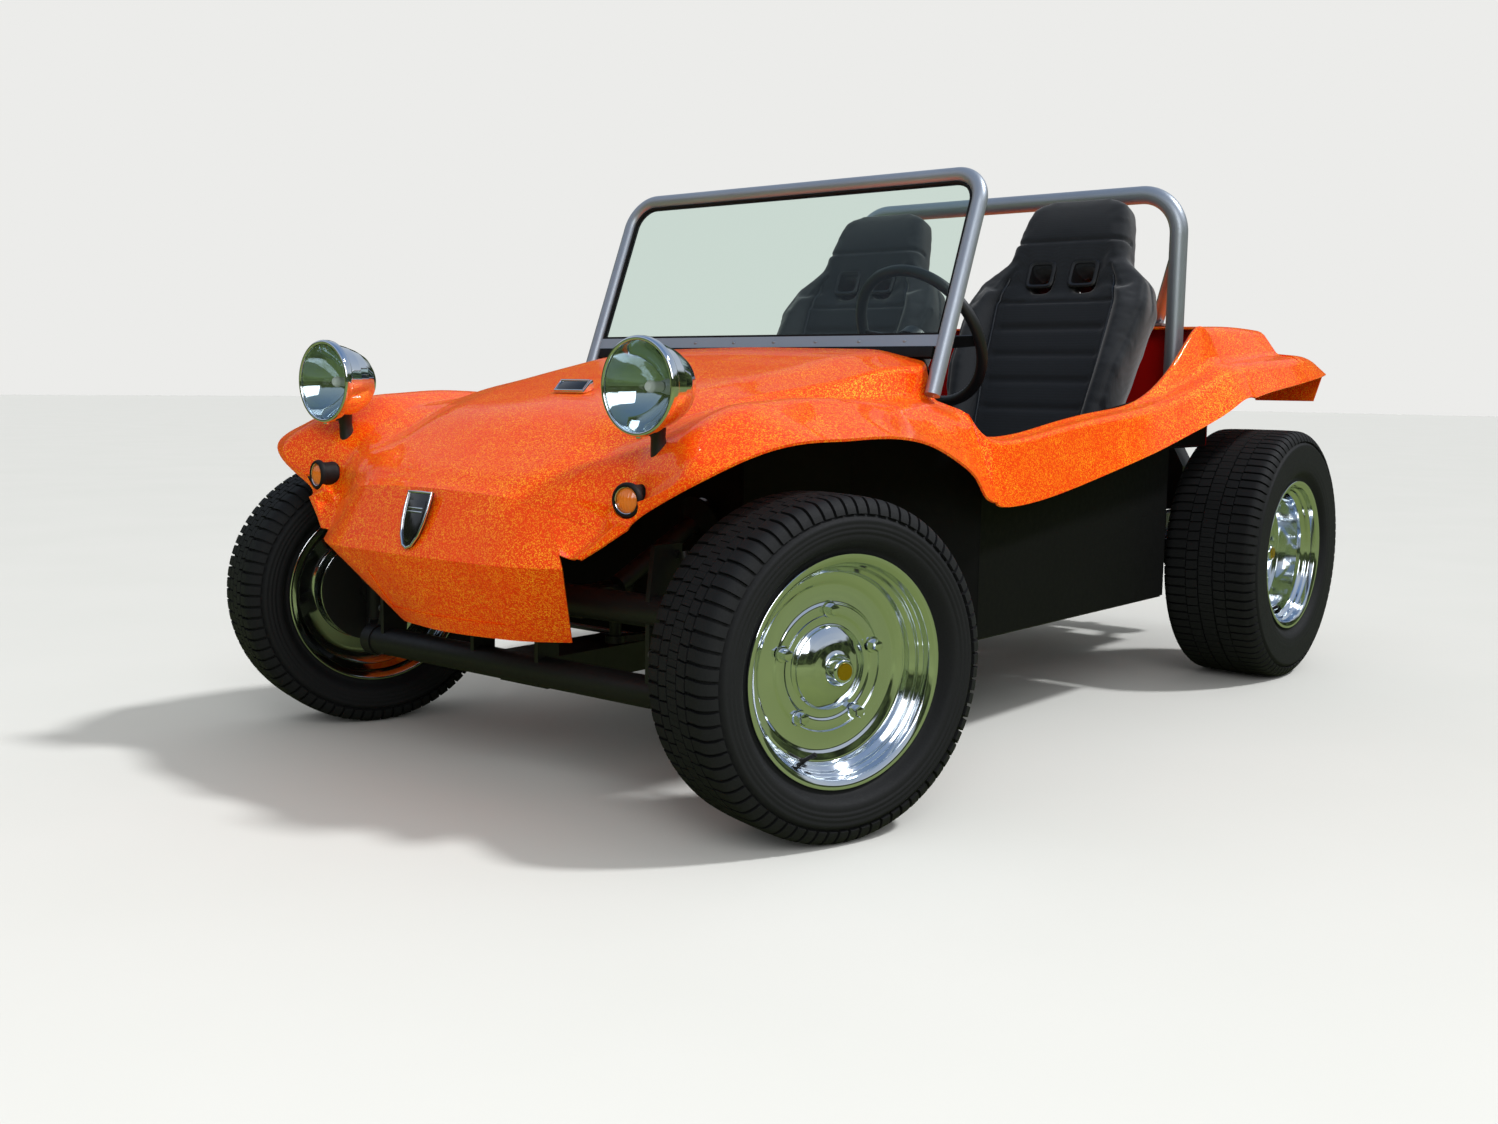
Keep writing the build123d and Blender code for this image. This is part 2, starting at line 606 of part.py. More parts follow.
shaft_bore_plane = Plane(origin=(0, pitman_y, box_bottom_z - 1))
gear_box = gear_box - Solid.make_cylinder(shaft_radius + running_clearance, 32, shaft_bore_plane)
beam = beam + gear_box
save("front_beam", beam)

# Trailing arms with their eyes on the kingpins, and the dampers
pin_radius = 9.0
eye_radius = 22.0
barrel_half = 62.0
eye_height = 30.0
arms = []
arm_levels = [
    # height of the beam's tube, foot of the eye
    (beam_upper_z, axle_z + barrel_half + 0.3),
    (beam_lower_z, axle_z - barrel_half - 0.3 - eye_height),
]
for tube_z, eye_z in arm_levels:
    eye = Solid.make_cylinder(eye_radius, eye_height, Plane(origin=(0, kingpin_y, eye_z)))
    boss = bar((beam_x, beam_half + 0.3, tube_z), (beam_x, beam_half + 30, tube_z), 33)
    mid_z = eye_z + eye_height / 2
    link = slab([(beam_x + 16, beam_half + 2, mid_z - 12), (beam_x - 22, beam_half + 2, mid_z - 12),
                 (-16, kingpin_y - 4, mid_z - 12), (16, kingpin_y + 4, mid_z - 12)], 24, (0, 0, 1))
    bore = Solid.make_cylinder(pin_radius + running_clearance, 200, Plane(origin=(0, kingpin_y, eye_z - 80)))
    arms.append((eye + boss + link) - bore)
damper_low = (beam_x - 58, beam_half + 57, beam_lower_z + 15.9)
damper_top = (beam_x - 52, beam_half - 13, tower_top_z - 20)
d0, d1 = Vector(*damper_low), Vector(*damper_top)
along = (d1 - d0).normalized()
damper = bar(d0, d0 + along * 150, 20) + bar(d0 + along * 140, d1 + along * 6, 9)
save("front_arms", both(Compound(arms + [damper])))

# Knuckles: kingpin barrel with pins, spindle, backing plate and steering arm
steer_axis = Vector(-sin(radians(rest_steer)), cos(radians(rest_steer)), 0)
arm_end = Vector(-cos(radians(rest_steer)), -sin(radians(rest_steer)), 0) * steer_arm_length
arm_thick = 14.0
rod_pin = 5.0
rod_eye = 13.0
hub_bore = 16.0
spindle_end = 99.5


def steering_plate(px, py):
    across = Vector(-arm_end.Y, arm_end.X, 0).normalized()
    base = Vector(px, py, tie_rod_z - arm_thick / 2)
    tip = base + arm_end
    points = [base + across * 14, tip + across * 10, tip - across * 10, base - across * 14]
    plate = Solid.extrude(Face(Wire.make_polygon(points, close=True)), Vector(0, 0, arm_thick))
    return plate + Solid.make_cylinder(rod_eye, arm_thick, Plane(origin=base + arm_end))


def knuckle(side):
    centre = Vector(0, side * kingpin_y, axle_z)
    out = steer_axis * side
    body = Solid.make_cylinder(21, 2 * barrel_half, Plane(origin=centre - Vector(0, 0, barrel_half)))
    pin_half = barrel_half + eye_height
    pins = Solid.make_cylinder(pin_radius, 2 * pin_half, Plane(origin=centre - Vector(0, 0, pin_half)))
    spindle = bar(centre, centre + out * spindle_end, hub_bore)
    collar = bar(centre, centre + out * 28, 30)
    plate = bar(centre + out * 24, centre + out * 28, 116)
    arm = steering_plate(0, side * kingpin_y)
    pin_foot = tie_rod_z - axle_z - (7 if side > 0 else 21)
    pin_plane = Plane(origin=centre + arm_end + Vector(0, 0, pin_foot))
    pin = Solid.make_cylinder(rod_pin, arm_thick + 14, pin_plane)
    return body + pins + spindle + collar + plate + arm + pin


save("knuckle_left", knuckle(1))
save("knuckle_right", knuckle(-1))

# Pitman arm below the steering box
pitman = steering_plate(0, pitman_y)
pitman = pitman + Solid.make_cylinder(20, arm_thick, Plane(origin=(0, pitman_y, tie_rod_z - 7)))
shaft_length = box_bottom_z + 28 - tie_rod_z
pitman = pitman + Solid.make_cylinder(shaft_radius, shaft_length, Plane(origin=(0, pitman_y, tie_rod_z)))
rod_pin_plane = Plane(origin=Vector(0, pitman_y, tie_rod_z - 21) + arm_end)
pitman = pitman + Solid.make_cylinder(rod_pin, arm_thick + 28, rod_pin_plane)
save("pitman_arm", pitman)


# Tie rods, each with an eye on the knuckle's pin and one on the pitman arm's
def tie_rod(side):
    z = tie_rod_z + side * (arm_thick / 2 + 7.3)
    a = Vector(arm_end.X, side * kingpin_y + arm_end.Y, z)
    b = Vector(arm_end.X, pitman_y + arm_end.Y, z)
    step = Vector(0, side * 10, 0)
    rod = bar(a - step, b + step, 6)
    for p in (a, b):
        rod = rod + Solid.make_cylinder(rod_eye, 14, Plane(origin=p - Vector(0, 0, 7)))
    for p in (a, b):
        rod = rod - Solid.make_cylinder(rod_pin + running_clearance, 40, Plane(origin=p - Vector(0, 0, 20)))
    return rod


save("tie_rod_left", tie_rod(1))
save("tie_rod_right", tie_rod(-1))

# Steering column and steering wheel
w0, w1 = Vector(*wheel_centre), Vector(*column_foot)
column_down = (w1 - w0).normalized()
column_start = w0 + column_down * 70
column = bar(column_start, w1 - column_down * 2, column_radius)
column = column + bar(w0 + column_down * 225, w0 + column_down * 245, 33.5)
save("steering_column", column - gear_box)
wheel_plane = Plane(origin=w0, x_dir=Vector(0, 1, 0).cross(column_down), z_dir=column_down)
rim_ring = Solid.make_torus(steering_wheel_radius, 13, wheel_plane)
hub = Solid.make_cylinder(40, 26, Plane(origin=w0 + column_down * 18, z_dir=column_down))
boss = Solid.make_cylinder(22, 52, Plane(origin=w0 + column_down * 17, z_dir=column_down))
wheel_body = rim_ring + hub + boss

def spun(plane, angle, x, y, z):
    c, s = cos(radians(angle)), sin(radians(angle))
    return plane.from_local_coords(Vector(c * x - s * y, s * x + c * y, z))


for angle in (0, 90, 270):
    inner = [spun(wheel_plane, angle, 30, y, z) for y, z in ((-17, 30), (17, 30), (17, 26), (-17, 26))]
    tip = ((-13, 2), (13, 2), (13, -2), (-13, -2))
    outer = [spun(wheel_plane, angle, steering_wheel_radius, y, z) for y, z in tip]
    spoke_wires = [Wire.make_polygon(inner, close=True), Wire.make_polygon(outer, close=True)]
    spoke = Solid.make_loft(spoke_wires, True)
    wheel_body = wheel_body + spoke
save("steering_wheel", wheel_body)

# Wheel rims: an outline of distance along the axle and radius, turned about the axle
def rim_outline(outer, width, disc, hub_in, bore_end, cap_end):
    inner = outer - width
    f = rim_flange_radius
    bore = hub_bore + running_clearance
    return [
        # distance along the axle, radius
        (outer, f), (outer - 6, f), (outer - 9.5, f - 11), (outer - 24, f - 14), (outer - 34, f - 28),
        (inner + 42, f - 28), (inner + 32, f - 14), (inner + 9.5, f - 11), (inner + 6, f), (inner, f),
        (inner, f - 6), (inner + 5, f - 18), (inner + 28, f - 21), (inner + 38, f - 34), (disc - 6, f - 34),
        (disc - 6, 118), (hub_in, 118), (hub_in, 108), (disc - 12, 108), (disc - 12, 42), (hub_in + 8, 42),
        (hub_in + 8, bore), (bore_end, bore), (bore_end, 0), (cap_end, 0), (cap_end, 13), (cap_end - 3, 20),
        (cap_end - 18, 25), (cap_end - 22, 30), (cap_end - 26, 44), (cap_end - 34, 60), (cap_end - 45, 72),
        (disc, 76), (disc, 148), (disc + 6, 164), (outer - 38, f - 34), (outer - 28, f - 21),
        (outer - 6, f - 18), (outer, f - 7),
    ]


def tyre_outline(outer, width, tyre_width, radius):
    mid = outer - width / 2
    half = width / 2
    wide = tyre_width / 2
    f = rim_flange_radius
    right = [
        # distance from the tyre's middle, radius
        (half - 10.0, f - 10.4), (half - 6.4, f + 1), (wide - 5, f + 20), (wide, f + 47),
        (wide - 6, radius - 19), (wide - 21, radius - 3), (wide - 55, radius),
    ]
    left = [(-a, r) for a, r in right[::-1]]
    hollow = [(-half + 24, f - 9), (-wide + 16, f + 35), (-wide + 22, radius - 17), (wide - 22, radius - 17),
              (wide - 16, f + 35), (half - 24, f - 9)]
    return [(mid + a, r) for a, r in right + left + hollow]


lug_pitch_radius = 102.5


def wheel_parts(origin, axis, outline_rim, outline_tyre, disc):
    rim = turned(outline_rim, origin, axis, (0, 0, 1))
    tyre = turned(outline_tyre, origin, axis, (0, 0, 1))
    face = Plane(origin=Vector(*origin) + Vector(*axis) * (disc - 1), x_dir=(0, 0, 1), z_dir=axis)
    for k in range(5):
        corners = []
        for i in range(6):
            cx = lug_pitch_radius + 11 * cos(radians(60 * i))
            corners.append(spun(face, 72 * k, cx, 11 * sin(radians(60 * i)), 0))
        nut = Solid.extrude(Face(Wire.make_polygon(corners, close=True)), Vector(*axis) * 20)
        rim = rim + nut
    return rim, tyre


front_disc = 85.0
rear_disc = 679.0
for side, label in ((1, "left"), (-1, "right")):
    front_rim = rim_outline(front_rim_outer_from_kingpin, front_rim_width, front_disc, 34.0, 100.0, 136.0)
    front_outer = front_rim_outer_from_kingpin
    front_tyre = tyre_outline(front_outer, front_rim_width, front_tyre_width, front_tyre_radius)
    front_hub = (0, side * kingpin_y, axle_z)
    front_axis = (steer_axis.X * side, steer_axis.Y * side, 0)
    rim, tyre = wheel_parts(front_hub, front_axis, front_rim, front_tyre, front_disc)
    save("rim_front_" + label, rim)
    save("tyre_front_" + label, tyre)
    rear_rim = rim_outline(rear_rim_outer_y, rear_rim_width, rear_disc, 628.0, 694.0, 730.0)
    rear_tyre = tyre_outline(rear_rim_outer_y, rear_rim_width, rear_tyre_width, rear_tyre_radius)
    rim, tyre = wheel_parts((rear_x, 0, rear_tyre_radius), (0, side, 0), rear_rim, rear_tyre, rear_disc)
    save("rim_rear_" + label, rim)
    save("tyre_rear_" + label, tyre)

# Transaxle with its nose, side covers and swing axle tubes
rear_z = rear_tyre_radius
bell_end_x = rear_x - 143
case_rings = [
    # x, radius
    (rear_x + 172, 88), (rear_x + 92, 120), (rear_x - 88, 150),
]
case_wires = [Wire.make_circle(r, Plane(origin=(x, 0, rear_z), z_dir=(-1, 0, 0))) for x, r in case_rings]
case = Solid.make_loft(case_wires, True)
case = case + bar((cradle_x, 0, rear_z), (rear_x + 170, 0, rear_z), nose_radius)
case = case + bar((rear_x - 86, 0, rear_z), (bell_end_x, 0, rear_z), 168)
case = case + bar((rear_x, -160, rear_z), (rear_x, 160, rear_z), 104)
save("transaxle", case)
axle = bar((rear_x, 160.3, rear_z), (rear_x, 606, rear_z), 34)
axle = axle + bar((rear_x, 600, rear_z), (rear_x, 622, rear_z), 116)
axle = axle + bar((rear_x, 600, rear_z), (rear_x, rear_rim_outer_y - 95.5, rear_z), hub_bore)
arm_end_x = bulkhead_x - 0.3
arm_outline = [
    # x, z
    (rear_x - 25, rear_z - 36), (rear_x + 25, rear_z - 36), (arm_end_x, rear_z - 30),
    (arm_end_x, rear_z + 30), (rear_x + 25, rear_z + 36), (rear_x - 25, rear_z + 36),
]
axle = axle + slab([(x, 490, z) for x, z in arm_outline], 10, (0, -1, 0))
save("rear_axles", both(axle))

# Engine: crankcase, finned barrels, heads, fan housing, pulley, generator and exhaust
engine_front = bell_end_x - 0.3
case_length = 270.0
barrel_radius = 46.0
fin_count = 9
fin_pitch = 17.0
fin_thick = 5.0
head_inner_y = 290.0
head_outer_y = 345.0
case_half = 120.0
pulley_radius = 86.0
crank_z = rear_tyre_radius
case_back = engine_front - case_length
block = box(case_back, engine_front, -case_half, case_half, crank_z - 138, crank_z + 112)
block = block.fillet(22, block.edges().filter_by(Axis.X))
for x in (engine_front - 70, engine_front - 195):
    barrel_end = head_inner_y + 10
    block = block + bar((x, -barrel_end, crank_z + 10), (x, barrel_end, crank_z + 10), barrel_radius)
    for k in range(fin_count):
        y = case_half + 16 + fin_pitch * k
        fin = box(x - 57, x + 57, y, y + fin_thick, crank_z - 48, crank_z + 68)
        block = block + fin + mirrored(fin)
head = box(case_back + 15, engine_front - 10, head_inner_y, head_outer_y, crank_z - 60, crank_z + 78)
cover = box(case_back + 25, engine_front - 20, head_outer_y, head_outer_y + 30, crank_z - 50, crank_z + 30)
cover = cover.fillet(12, cover.edges().filter_by(Axis.X))
block = block + head + mirrored(head) + cover + mirrored(cover)
pulley_z = crank_z - 8
pulley_back = case_back - 55
block = block + bar((case_back + 5, 0, pulley_z), (pulley_back, 0, pulley_z), 20)
block = block + bar((pulley_back + 22, 0, pulley_z), (pulley_back, 0, pulley_z), pulley_radius)
save("engine", block)
shroud_front = engine_front - 115
shroud_deep = 80.0
shroud_half_outline = [
    # y, z
    (50, 868), (105, 830), (150, 700), (300, crank_z + 297), (345, crank_z + 217),
    (345, crank_z + 82), (125, crank_z + 82), (125, crank_z + 137),
]
shroud_left = [(-y, z) for y, z in shroud_half_outline[::-1]]
shroud_loop = [Vector(shroud_front, y, z) for y, z in shroud_half_outline + shroud_left]
shroud = Solid.extrude(Face(Wire.make_polygon(shroud_loop, close=True)), Vector(-shroud_deep, 0, 0))
generator_z = crank_z + 312
generator_x = shroud_front - shroud_deep
generator = bar((generator_x, 0, generator_z), (generator_x - 130, 0, generator_z), 52)
generator = generator + bar((generator_x - 130, 0, generator_z), (generator_x - 160, 0, generator_z), 38)
stand = box(generator_x - 70, generator_x - 15, -32, 32, crank_z + 112.3, generator_z - 35)
save("fan_housing", shroud + generator + stand)
muffler_x = case_back - 129
muffler_z = crank_z - 58
pipes = bar((muffler_x, -300, muffler_z), (muffler_x, 300, muffler_z), 60)
for side in (-1, 1):
    tail_start = (muffler_x, side * 110, muffler_z - 25)
    pipes = pipes + bar(tail_start, (muffler_x - 74, side * 110, muffler_z - 33), 20)
    port_end = (case_back + 4.8, side * 318, muffler_z + 45)
    pipes = pipes + bar((muffler_x + 14, side * 265, muffler_z + 15), port_end, 21)
save("exhaust", pipes)

# Rear end plates with round tail lamps
plate_outline = [
    # y, z
    (480.5, 868), (483, 884), (492, 892.6), (560, 886.0), (655, 876.2), (680, 866),
    (703, 845), (680, 765), (505, 765),
]
plate_x = rear_x - 403.5
plate_thick = 4.0
end_plate = slab([(plate_x, y, z) for y, z in plate_outline], plate_thick, (-1, 0, 0))
lamp_rear_origin = (plate_x - plate_thick - 0.3, 585, 812)
lamp_rear_profile = [(0, 0), (0, 44), (16, 44), (30, 40), (36, 24), (38, 0)]
lamp_rear = turned(lamp_rear_profile, lamp_rear_origin, (-1, 0, 0), (0, 0, 1))
save("tail_plates", both(end_plate))
save("tail_lamps", both(lamp_rear))

# Floor controls: pedals, shift lever and hand brake
controls = []
for y in (165.0, 235.0, 305.0):
    pad_corners = [(-300, y - 24, 330), (-300, y + 24, 330), (-262, y + 24, 402), (-262, y - 24, 402)]
    pad = slab(pad_corners, 8, (-0.88, 0, 0.46))
    controls.append(pad + bar((-290, y, 352), (-250, y, floor_z + 3), 7))
lever_base = floor_z + 165.3
knob_place = (-800, 0, 650)
lever = bar((-760, 0, lever_base + 4), (-800, 0, 640), 8) + Solid.make_sphere(24, Plane(origin=knob_place))
controls.append(lever + bar((-762, 0, lever_base), (-762, 0, lever_base + 22), 26))
hand_brake = bar((-960, 0, lever_base + 12), (-1190, 0, lever_base + 82), 11)
controls.append(hand_brake + box(-985, -930, -16, 16, lever_base, lever_base + 24))
save("floor_controls", Compound(controls))
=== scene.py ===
import json
import math

import bpy
import bmesh
from mathutils import Matrix, Vector
from mathutils.bvhtree import BVHTree


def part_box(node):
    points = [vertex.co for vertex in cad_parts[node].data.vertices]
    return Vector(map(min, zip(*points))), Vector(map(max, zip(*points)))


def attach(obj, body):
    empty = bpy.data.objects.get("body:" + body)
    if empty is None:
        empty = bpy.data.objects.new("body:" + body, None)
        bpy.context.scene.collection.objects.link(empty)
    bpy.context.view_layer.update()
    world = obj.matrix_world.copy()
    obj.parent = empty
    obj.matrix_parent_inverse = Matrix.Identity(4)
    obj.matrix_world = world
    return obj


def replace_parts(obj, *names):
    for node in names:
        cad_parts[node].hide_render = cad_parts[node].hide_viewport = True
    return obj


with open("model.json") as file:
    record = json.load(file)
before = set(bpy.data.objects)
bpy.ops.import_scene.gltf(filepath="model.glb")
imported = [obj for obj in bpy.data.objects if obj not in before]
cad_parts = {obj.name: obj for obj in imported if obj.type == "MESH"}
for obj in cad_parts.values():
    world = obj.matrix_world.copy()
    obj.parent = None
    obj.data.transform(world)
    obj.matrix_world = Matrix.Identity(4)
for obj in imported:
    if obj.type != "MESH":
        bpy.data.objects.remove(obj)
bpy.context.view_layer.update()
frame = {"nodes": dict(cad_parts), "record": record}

nodes = frame["nodes"]

frontAxle = 1.131  # the front axle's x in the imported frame, in metres
bothSides = (("left", 1), ("right", -1))


# Colours and shader nodes
def colour(hexText):
    parts = [int(hexText[i:i + 2], 16) / 255 for i in (1, 3, 5)]
    linear = [p / 12.92 if p <= 0.04045 else ((p + 0.055) / 1.055) ** 2.4 for p in parts]
    return (*linear, 1.0)


black, grey, white = (0, 0, 0, 1), (0.35, 0.35, 0.35, 1), (1, 1, 1, 1)


# An input takes a number, a colour, a node's output, or a node, which gives its first output in use
def feed(tree, socket, value):
    if isinstance(value, bpy.types.Node):
        value = next(output for output in value.outputs if output.enabled)
    if isinstance(value, bpy.types.NodeSocket):
        tree.links.new(value, socket)
    else:
        socket.default_value = value


def setInputs(tree, node, inputs):
    for key, value in inputs.items():
        feed(tree, node.inputs[key], value)


# Adds a node with its settings, its links and a ramp's stops; a mix of colours takes inputs 0, 6 and 7
def addNode(tree, kind, inputs=None, stops=(), **settings):
    node = tree.nodes.new(kind)
    for key, value in settings.items():
        setattr(node, key, value)
    for k, (position, tint) in enumerate(stops):
        node.color_ramp.elements[k].position = position
        node.color_ramp.elements[k].color = tint
    setInputs(tree, node, inputs or {})
    return node


def newMaterial(name):
    material = bpy.data.materials.new(name)
    material.use_nodes = True
    tree = material.node_tree
    place = addNode(tree, "ShaderNodeTexCoord").outputs["Object"]
    return material, tree, tree.nodes["Principled BSDF"], place


# Orange paint with gold flake under a clear coat; the flake's size is in millimetres, coarse enough to show
flakePaint = {
    "base": "#f24304", "deep": "#e63803", "gold": "#ffb01e", "flakeSize": 1.8, "flakeShare": 0.58,
    "flakeTilt": 0.32, "patchScale": 9.0, "shadeScale": 2.5, "roughness": 0.45, "coat": 0.35,
}


def makeFlakePaint(name, look):
    material, tree, shader, place = newMaterial(name)
    deep, base, gold = (colour(look[key]) for key in ("deep", "base", "gold"))
    share = look["flakeShare"]
    cells = addNode(tree, "ShaderNodeTexVoronoi", {"Vector": place, "Scale": 1000 / look["flakeSize"]})
    flake = cells.outputs["Color"]
    chance = addNode(tree, "ShaderNodeSeparateColor", {"Color": flake})
    picked = addNode(tree, "ShaderNodeValToRGB", {"Fac": chance}, [(share, black), (share + 0.3, white)])
    patches = addNode(tree, "ShaderNodeTexNoise", {
        "Vector": place, "Scale": look["patchScale"], "Detail": 4.0, "Roughness": 0.65})
    dense = addNode(tree, "ShaderNodeValToRGB", {"Fac": patches}, [(0.3, grey), (0.72, white)])
    shade = addNode(tree, "ShaderNodeTexNoise", {"Vector": place, "Scale": look["shadeScale"], "Detail": 2.0})
    ground = addNode(tree, "ShaderNodeMix", {0: shade, 6: deep, 7: base}, data_type="RGBA")
    amount = addNode(tree, "ShaderNodeMath", {0: picked, 1: dense}, operation="MULTIPLY")
    tilt = addNode(tree, "ShaderNodeVectorMath", {0: flake, 1: (0.5, 0.5, 0.5)}, operation="SUBTRACT")
    small = addNode(tree, "ShaderNodeVectorMath", {0: tilt, "Scale": look["flakeTilt"]}, operation="SCALE")
    normal = addNode(tree, "ShaderNodeNewGeometry").outputs["Normal"]
    tilted = addNode(tree, "ShaderNodeVectorMath", {0: normal, 1: small}, operation="ADD")
    setInputs(tree, shader, {
        "Base Color": addNode(tree, "ShaderNodeMix", {0: amount, 6: ground, 7: gold}, data_type="RGBA"),
        "Normal": addNode(tree, "ShaderNodeVectorMath", {0: tilted}, operation="NORMALIZE"),
        "Metallic": 0.2, "Roughness": look["roughness"], "Specular IOR Level": 0.05,
        "Coat Weight": look["coat"], "Coat Roughness": 0.03, "Coat IOR": 1.5})
    return material


# A material whose colour and roughness vary a little; grain is bumps to the metre, so 60 is one each 17 mm
def makePlain(name, base, dark, roughness, metallic=0.0, grain=60.0, bump=0.1, depth=0.0004, coat=0.0,
              shine=0.5):
    material, tree, shader, place = newMaterial(name)
    cloud = addNode(tree, "ShaderNodeTexNoise", {"Vector": place, "Scale": 5.0, "Detail": 5.0})
    fine = addNode(tree, "ShaderNodeTexNoise", {"Vector": place, "Scale": grain, "Detail": 3.0})
    rough = {"Value": fine, "To Min": roughness * 0.8, "To Max": min(1, roughness * 1.2)}
    tints = {0: cloud, 6: colour(dark), 7: colour(base)}
    setInputs(tree, shader, {
        "Base Color": addNode(tree, "ShaderNodeMix", tints, data_type="RGBA"),
        "Roughness": addNode(tree, "ShaderNodeMapRange", rough),
        "Metallic": metallic, "Coat Weight": coat, "Specular IOR Level": shine})
    if bump:
        relief = {"Height": fine, "Strength": bump, "Distance": depth}
        setInputs(tree, shader, {"Normal": addNode(tree, "ShaderNodeBump", relief)})
    return material


# Thin glass: clear when seen straight on, and a mirror at a steep angle
def makeGlass(name, tint, share):
    material, tree = newMaterial(name)[:2]
    gloss = addNode(tree, "ShaderNodeBsdfGlossy", {"Roughness": 0.01})
    clear = addNode(tree, "ShaderNodeBsdfTransparent", {"Color": colour(tint)})
    facing = addNode(tree, "ShaderNodeLayerWeight", {"Blend": 0.5}).outputs["Facing"]
    steep = addNode(tree, "ShaderNodeMath", {0: facing, 1: 4.0}, operation="POWER")
    strength = addNode(tree, "ShaderNodeMath", {0: steep, 1: 0.8, 2: share}, operation="MULTIPLY_ADD")
    mixed = addNode(tree, "ShaderNodeMixShader", {0: strength, 1: clear, 2: gloss})
    setInputs(tree, tree.nodes["Material Output"], {"Surface": mixed})
    return material


# Woven seat cloth with threads about 1.4 mm apart, a little coarse so that it shows
def makeWeave(name, base, thread, spacing):
    material, tree, shader, place = newMaterial(name)
    waves = []
    for direction, detail in (("X", 1.0), ("Y", 1.0), ("Z", 2.0)):
        inputs = {"Vector": place, "Scale": 1000 / spacing / math.tau, "Distortion": 0.4, "Detail": detail}
        wave = addNode(tree, "ShaderNodeTexWave", inputs, bands_direction=direction)
        waves.append(wave.outputs["Fac"])
    crossed = addNode(tree, "ShaderNodeMath", {0: waves[0], 1: waves[1]}, operation="MULTIPLY")
    summed = addNode(tree, "ShaderNodeMath", {0: crossed, 1: waves[2]}, operation="ADD")
    half = addNode(tree, "ShaderNodeMath", {0: summed, 1: 0.5}, operation="MULTIPLY")
    cloud = addNode(tree, "ShaderNodeTexNoise", {"Vector": place, "Scale": 7.0, "Detail": 3.0})
    tints = {0: cloud, 6: colour(base), 7: colour(thread)}
    ground = addNode(tree, "ShaderNodeMix", tints, data_type="RGBA")
    # The low gaps between the threads are coloured near black: painted shade in the weave's hollows
    tints = {0: half, 6: colour("#07090c"), 7: ground}
    setInputs(tree, shader, {
        "Base Color": addNode(tree, "ShaderNodeMix", tints, data_type="RGBA"),
        "Normal": addNode(tree, "ShaderNodeBump", {"Height": half, "Strength": 0.5, "Distance": 0.0005}),
        "Roughness": 0.85, "Sheen Weight": 0.3, "Sheen Roughness": 0.4})
    return material


looks = {
    # glass fibre sprayed with flake lacquer: a grainy glow under a wet shine
    "orange": makeFlakePaint("flakeLacquer", flakePaint),
    # glass fibre left in black gelcoat: flat, with hardly a highlight
    "black_shell": makePlain("mouldedGelcoat", "#070708", "#040404", 0.62, shine=0.15),
    # enamel brushed on steel: black with a broad, soft sheen
    "chassis_black": makePlain("brushedEnamel", "#141414", "#0a0a0a", 0.5),
    # gelcoat polished in its mould: deep red with clear reflections
    "red_lining": makePlain("polishedGelcoat", "#c80f0a", "#a50a07", 0.25, coat=0.5),
    # moulded ABS with a fine grain: dark, even and half dull
    "dash_black": makePlain("mouldedAbs", "#17171a", "#0e0e10", 0.55),
    # steel tube with zinc plating: pale, with satin streaks of light
    "bare_tube": makePlain("zincPlatedTube", "#aab1b9", "#989fa8", 0.42, metallic=0.75, grain=200, bump=0.03),
    # laminated window glass: almost unseen straight on
    "clear_glass": makeGlass("windowGlass", "#eef6f2", 0.02),
    # woven polyester: threads break up the light, with painted shade in the gaps between them
    "seat_cloth": makeWeave("wovenPolyester", "#18202b", "#10161f", 1.4),
    # chromed and polished steel: a sharp mirror
    "lamp_chrome": makePlain("polishedChrome", "#e9eef2", "#dfe5ea", 0.05, metallic=1.0, bump=0),
    # pressed glass: clear, with bright flutes
    "lamp_glass": makeGlass("pressedGlass", "#dfe9ee", 0.15),
    # moulded rubber: deep grey-black without highlights
    "black_rubber": makePlain("mouldedRubber", "#101011", "#0a0a0a", 0.65, shine=0.25),
    # moulded acrylic: full colour under a clear shine
    "amber": makePlain("amberAcrylic", "#d8781a", "#b9580f", 0.2, coat=0.6),
    "red_lens": makePlain("redAcrylic", "#b01010", "#8a0808", 0.15, coat=0.6),
    # glazed enamel: a dark and glossy field
    "badge_black": makePlain("glazedEnamel", "#101012", "#08080a", 0.2, coat=0.6),
    # sand-cast aluminium: grey with a grainy sparkle
    "cast_case": makePlain("castAluminium", "#8c8d90", "#707276", 0.5, metallic=0.7, grain=150, bump=0.3),
    # mild steel browned by heat: a dull warm grey
    "exhaust_steel": makePlain("heatedSteel", "#6d6a68", "#4c4744", 0.45, metallic=0.8),
    # drawn steel rod: plain grey with long highlights
    "steel_rod": makePlain("drawnSteel", "#77797c", "#5b5d60", 0.4, metallic=0.8),
    # moulded leatherette on the steering wheel: an even satin black
    "wheel_black": makePlain("mouldedLeatherette", "#17181b", "#0d0e10", 0.45),
    # chromed pressed steel: a mirror that is a little soft
    "rim_chrome": makePlain("pressedChrome", "#e9edf0", "#d9dfe4", 0.07, metallic=1.0, bump=0),
    # tyre rubber with a fine grain: a dusty black
    "tyre_black": makePlain("tyreRubber", "#17181a", "#0f1011", 0.72, grain=300, bump=0.2, shine=0.25),
}


# A shading edge stays sharp where faces meet at more than this many degrees
def smoothByAngle(obj, degrees):
    obj.data.shade_smooth()
    obj.data.set_sharp_from_angle(angle=math.radians(degrees))


slotOf = {part["node"]: part["material_slot"] for part in frame["record"]["subparts"]}
for name, obj in nodes.items():
    obj.data.materials.clear()
    obj.data.materials.append(looks[slotOf[name]])
    smoothByAngle(obj, 32)
print("materials done")


# Mesh helpers: every piece is a plain mesh in the car's own frame
def newObject(name, data):
    obj = bpy.data.objects.new(name, data)
    bpy.context.scene.collection.objects.link(obj)
    return obj


